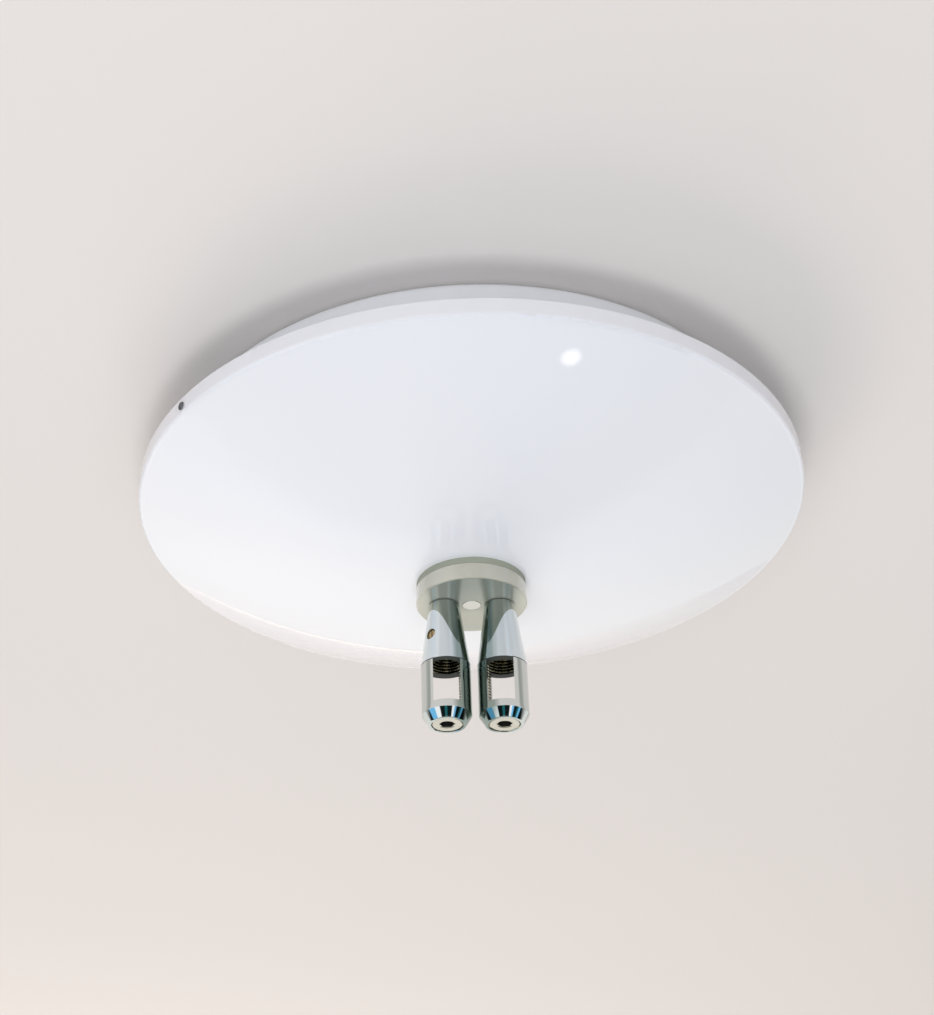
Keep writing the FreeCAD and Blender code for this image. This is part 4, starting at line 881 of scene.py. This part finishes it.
class RAILFEED_OT_stage(bpy.types.Operator):
    """The ceiling, the light, the room that the chrome reflects, and the camera."""
    bl_idname = "railfeed.stage"
    bl_label = "Stage"

    def execute(self, context):
        t = context.scene.rail_stage
        self.ceiling(t)
        self.lights(t)
        self.room(context, t)
        self.camera(context, t)
        context.scene.view_settings.view_transform = "Standard"
        return {"FINISHED"}

    def ceiling(self, t):
        deselect()
        bpy.ops.mesh.primitive_circle_add(vertices=160, radius=t.opening_radius)
        plane = bpy.context.object
        plane.name = "ceiling"
        bpy.ops.object.mode_set(mode="EDIT")
        bpy.ops.mesh.select_all(action="SELECT")
        bpy.ops.mesh.extrude_edges_move()
        spread = 36
        bpy.ops.transform.resize(value=(spread, spread, spread), center_override=(0, 0, 0))
        bpy.ops.object.mode_set(mode="OBJECT")
        if plane.data.polygons[0].normal.z > 0:
            plane.data.flip_normals()
        material = bpy.data.materials.new("Ceiling paint")
        material.use_nodes = True
        tree = material.node_tree
        shader = tree.nodes["Principled BSDF"]
        shader.inputs["Roughness"].default_value = 0.9
        place = tree.nodes.new("ShaderNodeTexCoord")
        noise = new_node(tree, "ShaderNodeTexNoise", Scale=3.0, Detail=2.0)
        tree.links.new(place.outputs["Object"], noise.inputs["Vector"])
        tone = mixed(tree, noise.outputs["Fac"], (0.785, 0.752, 0.735), (0.775, 0.742, 0.725))
        tree.links.new(tone, shader.inputs["Base Color"])
        clear = tree.nodes.new("ShaderNodeBsdfTransparent")
        shape = tree.nodes.new("ShaderNodeNewGeometry")
        mix = tree.nodes.new("ShaderNodeMixShader")
        tree.links.new(shape.outputs["Backfacing"], mix.inputs[0])
        tree.links.new(shader.outputs[0], mix.inputs[1])
        tree.links.new(clear.outputs[0], mix.inputs[2])
        tree.links.new(mix.outputs[0], tree.nodes["Material Output"].inputs["Surface"])
        plane.data.materials.append(material)

    def lights(self, t):
        for name, place, size, power, colour in (
            ("window light", (-1.6, 1.9, -1.3), 1.4, t.key_power, (1.0, 0.88, 0.76)),
            ("far window", (-0.5, 2.5, -0.9), 1.6, t.far_power, (1.0, 0.89, 0.77)),
            ("light from below", (-0.1, -0.6, -1.8), 0.8, t.below_power, (0.97, 0.985, 1.0)),
            ("fill light", (-0.3, -1.6, -0.8), 1.2, t.fill_power, (0.95, 0.975, 1.0)),
        ):
            data = bpy.data.lights.new(name, "AREA")
            data.energy, data.size, data.color = power, size, colour
            light = bpy.data.objects.new(name, data)
            aim = Vector((0, 0, -0.04)) - Vector(place)
            turn = aim.to_track_quat("-Z", "Y").to_matrix().to_4x4()
            light.matrix_world = Matrix.Translation(place) @ turn
            bpy.context.scene.collection.objects.link(light)
            light.visible_glossy = False

    def room(self, context, t):
        """What lights the object, and what the polished pieces mirror."""
        world = bpy.data.worlds.new("Room")
        context.scene.world = world
        world.use_nodes = True
        tree = world.node_tree
        place = tree.nodes.new("ShaderNodeTexCoord")
        parts = tree.nodes.new("ShaderNodeSeparateXYZ")
        tree.links.new(place.outputs["Generated"], parts.inputs[0])
        level = maths(tree, "MULTIPLY_ADD", parts.outputs["Z"], 0.5, 0.5)
        floor, wall = (0.30, 0.31, 0.27), (0.88, 0.89, 0.86)
        room = ramp(tree, level, [(0.0, floor), (0.12, (0.42, 0.43, 0.38)), (0.22, wall), (1.0, wall)])
        nearer = maths(tree, "MULTIPLY", parts.outputs["Y"], -1.0)
        bearing = maths(tree, "ARCTAN2", parts.outputs["X"], nearer)
        turn = maths(tree, "MULTIPLY_ADD", bearing, 1 / math.tau, 0.5)
        dark, teal = (0.006, 0.012, 0.012), (0.02, 0.15, 0.17)
        sky, day = (0.22, 0.62, 1.0), (1.1, 1.12, 1.15)
        panes = ramp(tree, turn, bands([
            (0.0, wall), (0.19, dark), (0.25, sky), (0.33, day), (0.40, dark), (0.465, teal), (0.5, dark),
            (0.567, day), (0.60, sky), (0.625, dark), (0.667, teal), (0.69, sky), (0.715, dark), (0.81, wall),
        ]))
        band = ramp(tree, level,
                    [(0.15, 0.0), (0.17, 1.0), (0.33, 1.0), (0.4, 0.2), (0.52, 0.2), (0.55, 0.0)])
        seen = mixed(tree, band, room, panes)
        spot = tree.nodes.new("ShaderNodeVectorMath")
        spot.operation = "DOT_PRODUCT"
        tree.links.new(place.outputs["Generated"], spot.inputs[0])
        towards_lamp, lamp_glow = Vector((0.280, 0.138, -0.95)), (6.0, 6.0, 6.0)
        spot.inputs[1].default_value = towards_lamp.normalized()
        # The cosines at the lamp's soft border
        outer, inner = 0.9995, 0.9999
        slope = 1 / (inner - outer)
        lamp = maths(tree, "MULTIPLY_ADD", spot.outputs["Value"], slope, -outer * slope)
        seen = mixed(tree, lamp, seen, lamp_glow)
        path = tree.nodes.new("ShaderNodeLightPath")
        air, backdrop = (0.95, 0.955, 0.975), (0.80, 0.76, 0.74)
        lit = mixed(tree, path.outputs["Is Glossy Ray"], tuple(c * t.air_light for c in air), seen)
        plain = maths(tree, "MAXIMUM", path.outputs["Is Camera Ray"], path.outputs["Is Transmission Ray"])
        back = tree.nodes["Background"]
        tree.links.new(mixed(tree, plain, lit, backdrop), back.inputs["Color"])

    def camera(self, context, t):
        data = bpy.data.cameras.new("photo camera")
        camera = bpy.data.objects.new("photo camera", data)
        context.scene.collection.objects.link(camera)
        context.scene.camera = camera
        width, height = t.picture_size
        across, down = t.view_centre
        sensor, farthest = 36.0, 50.0
        data.sensor_width = sensor
        data.lens = t.focal_pixels / height * sensor
        data.shift_x = (width / 2 - across) / height
        data.shift_y = (down - height / 2) / height
        data.clip_end = farthest
        forward = Vector((
            math.sin(t.camera_yaw) * math.cos(t.camera_pitch),
            math.cos(t.camera_yaw) * math.cos(t.camera_pitch),
            math.sin(t.camera_pitch),
        ))
        level = forward.cross(Vector((0, 0, 1))).normalized()
        upright = level.cross(forward)
        right = level * math.cos(t.camera_roll) + upright * math.sin(t.camera_roll)
        up = -level * math.sin(t.camera_roll) + upright * math.cos(t.camera_roll)
        turn = Matrix((right, up, -forward)).transposed().to_4x4()
        camera.matrix_world = Matrix.Translation(t.camera_place) @ turn


class RAILFEED_PT_panel(bpy.types.Panel):
    """The sizes of the pieces and the buttons that build them"""
    bl_idname = "RAILFEED_PT_panel"
    bl_label = "Rail feed"
    bl_space_type = "VIEW_3D"
    bl_region_type = "UI"
    bl_category = "Rail feed"

    def draw(self, context):
        for settings in (context.scene.rail_feed, context.scene.rail_stage):
            for name in settings.__annotations__:
                self.layout.prop(settings, name)
        for operator in OPERATORS:
            self.layout.operator(operator.bl_idname)


OPERATORS = (
    RAILFEED_OT_finishes,
    RAILFEED_OT_barrels,
    RAILFEED_OT_clamp_screws,
    RAILFEED_OT_set_screws,
    RAILFEED_OT_hub_screw,
    RAILFEED_OT_side_screws,
    RAILFEED_OT_stage,
)
CLASSES = (RailFeedSettings, RailStageSettings, *OPERATORS, RAILFEED_PT_panel)


def register():
    for item in CLASSES:
        bpy.utils.register_class(item)
    bpy.types.Scene.rail_feed = bpy.props.PointerProperty(type=RailFeedSettings)
    bpy.types.Scene.rail_stage = bpy.props.PointerProperty(type=RailStageSettings)


def unregister():
    del bpy.types.Scene.rail_stage
    del bpy.types.Scene.rail_feed
    for item in reversed(CLASSES):
        bpy.utils.unregister_class(item)


def main():
    register()
    for operator in OPERATORS:
        group, name = operator.bl_idname.split(".")
        getattr(getattr(bpy.ops, group), name)()


if __name__ == "__main__":
    main()
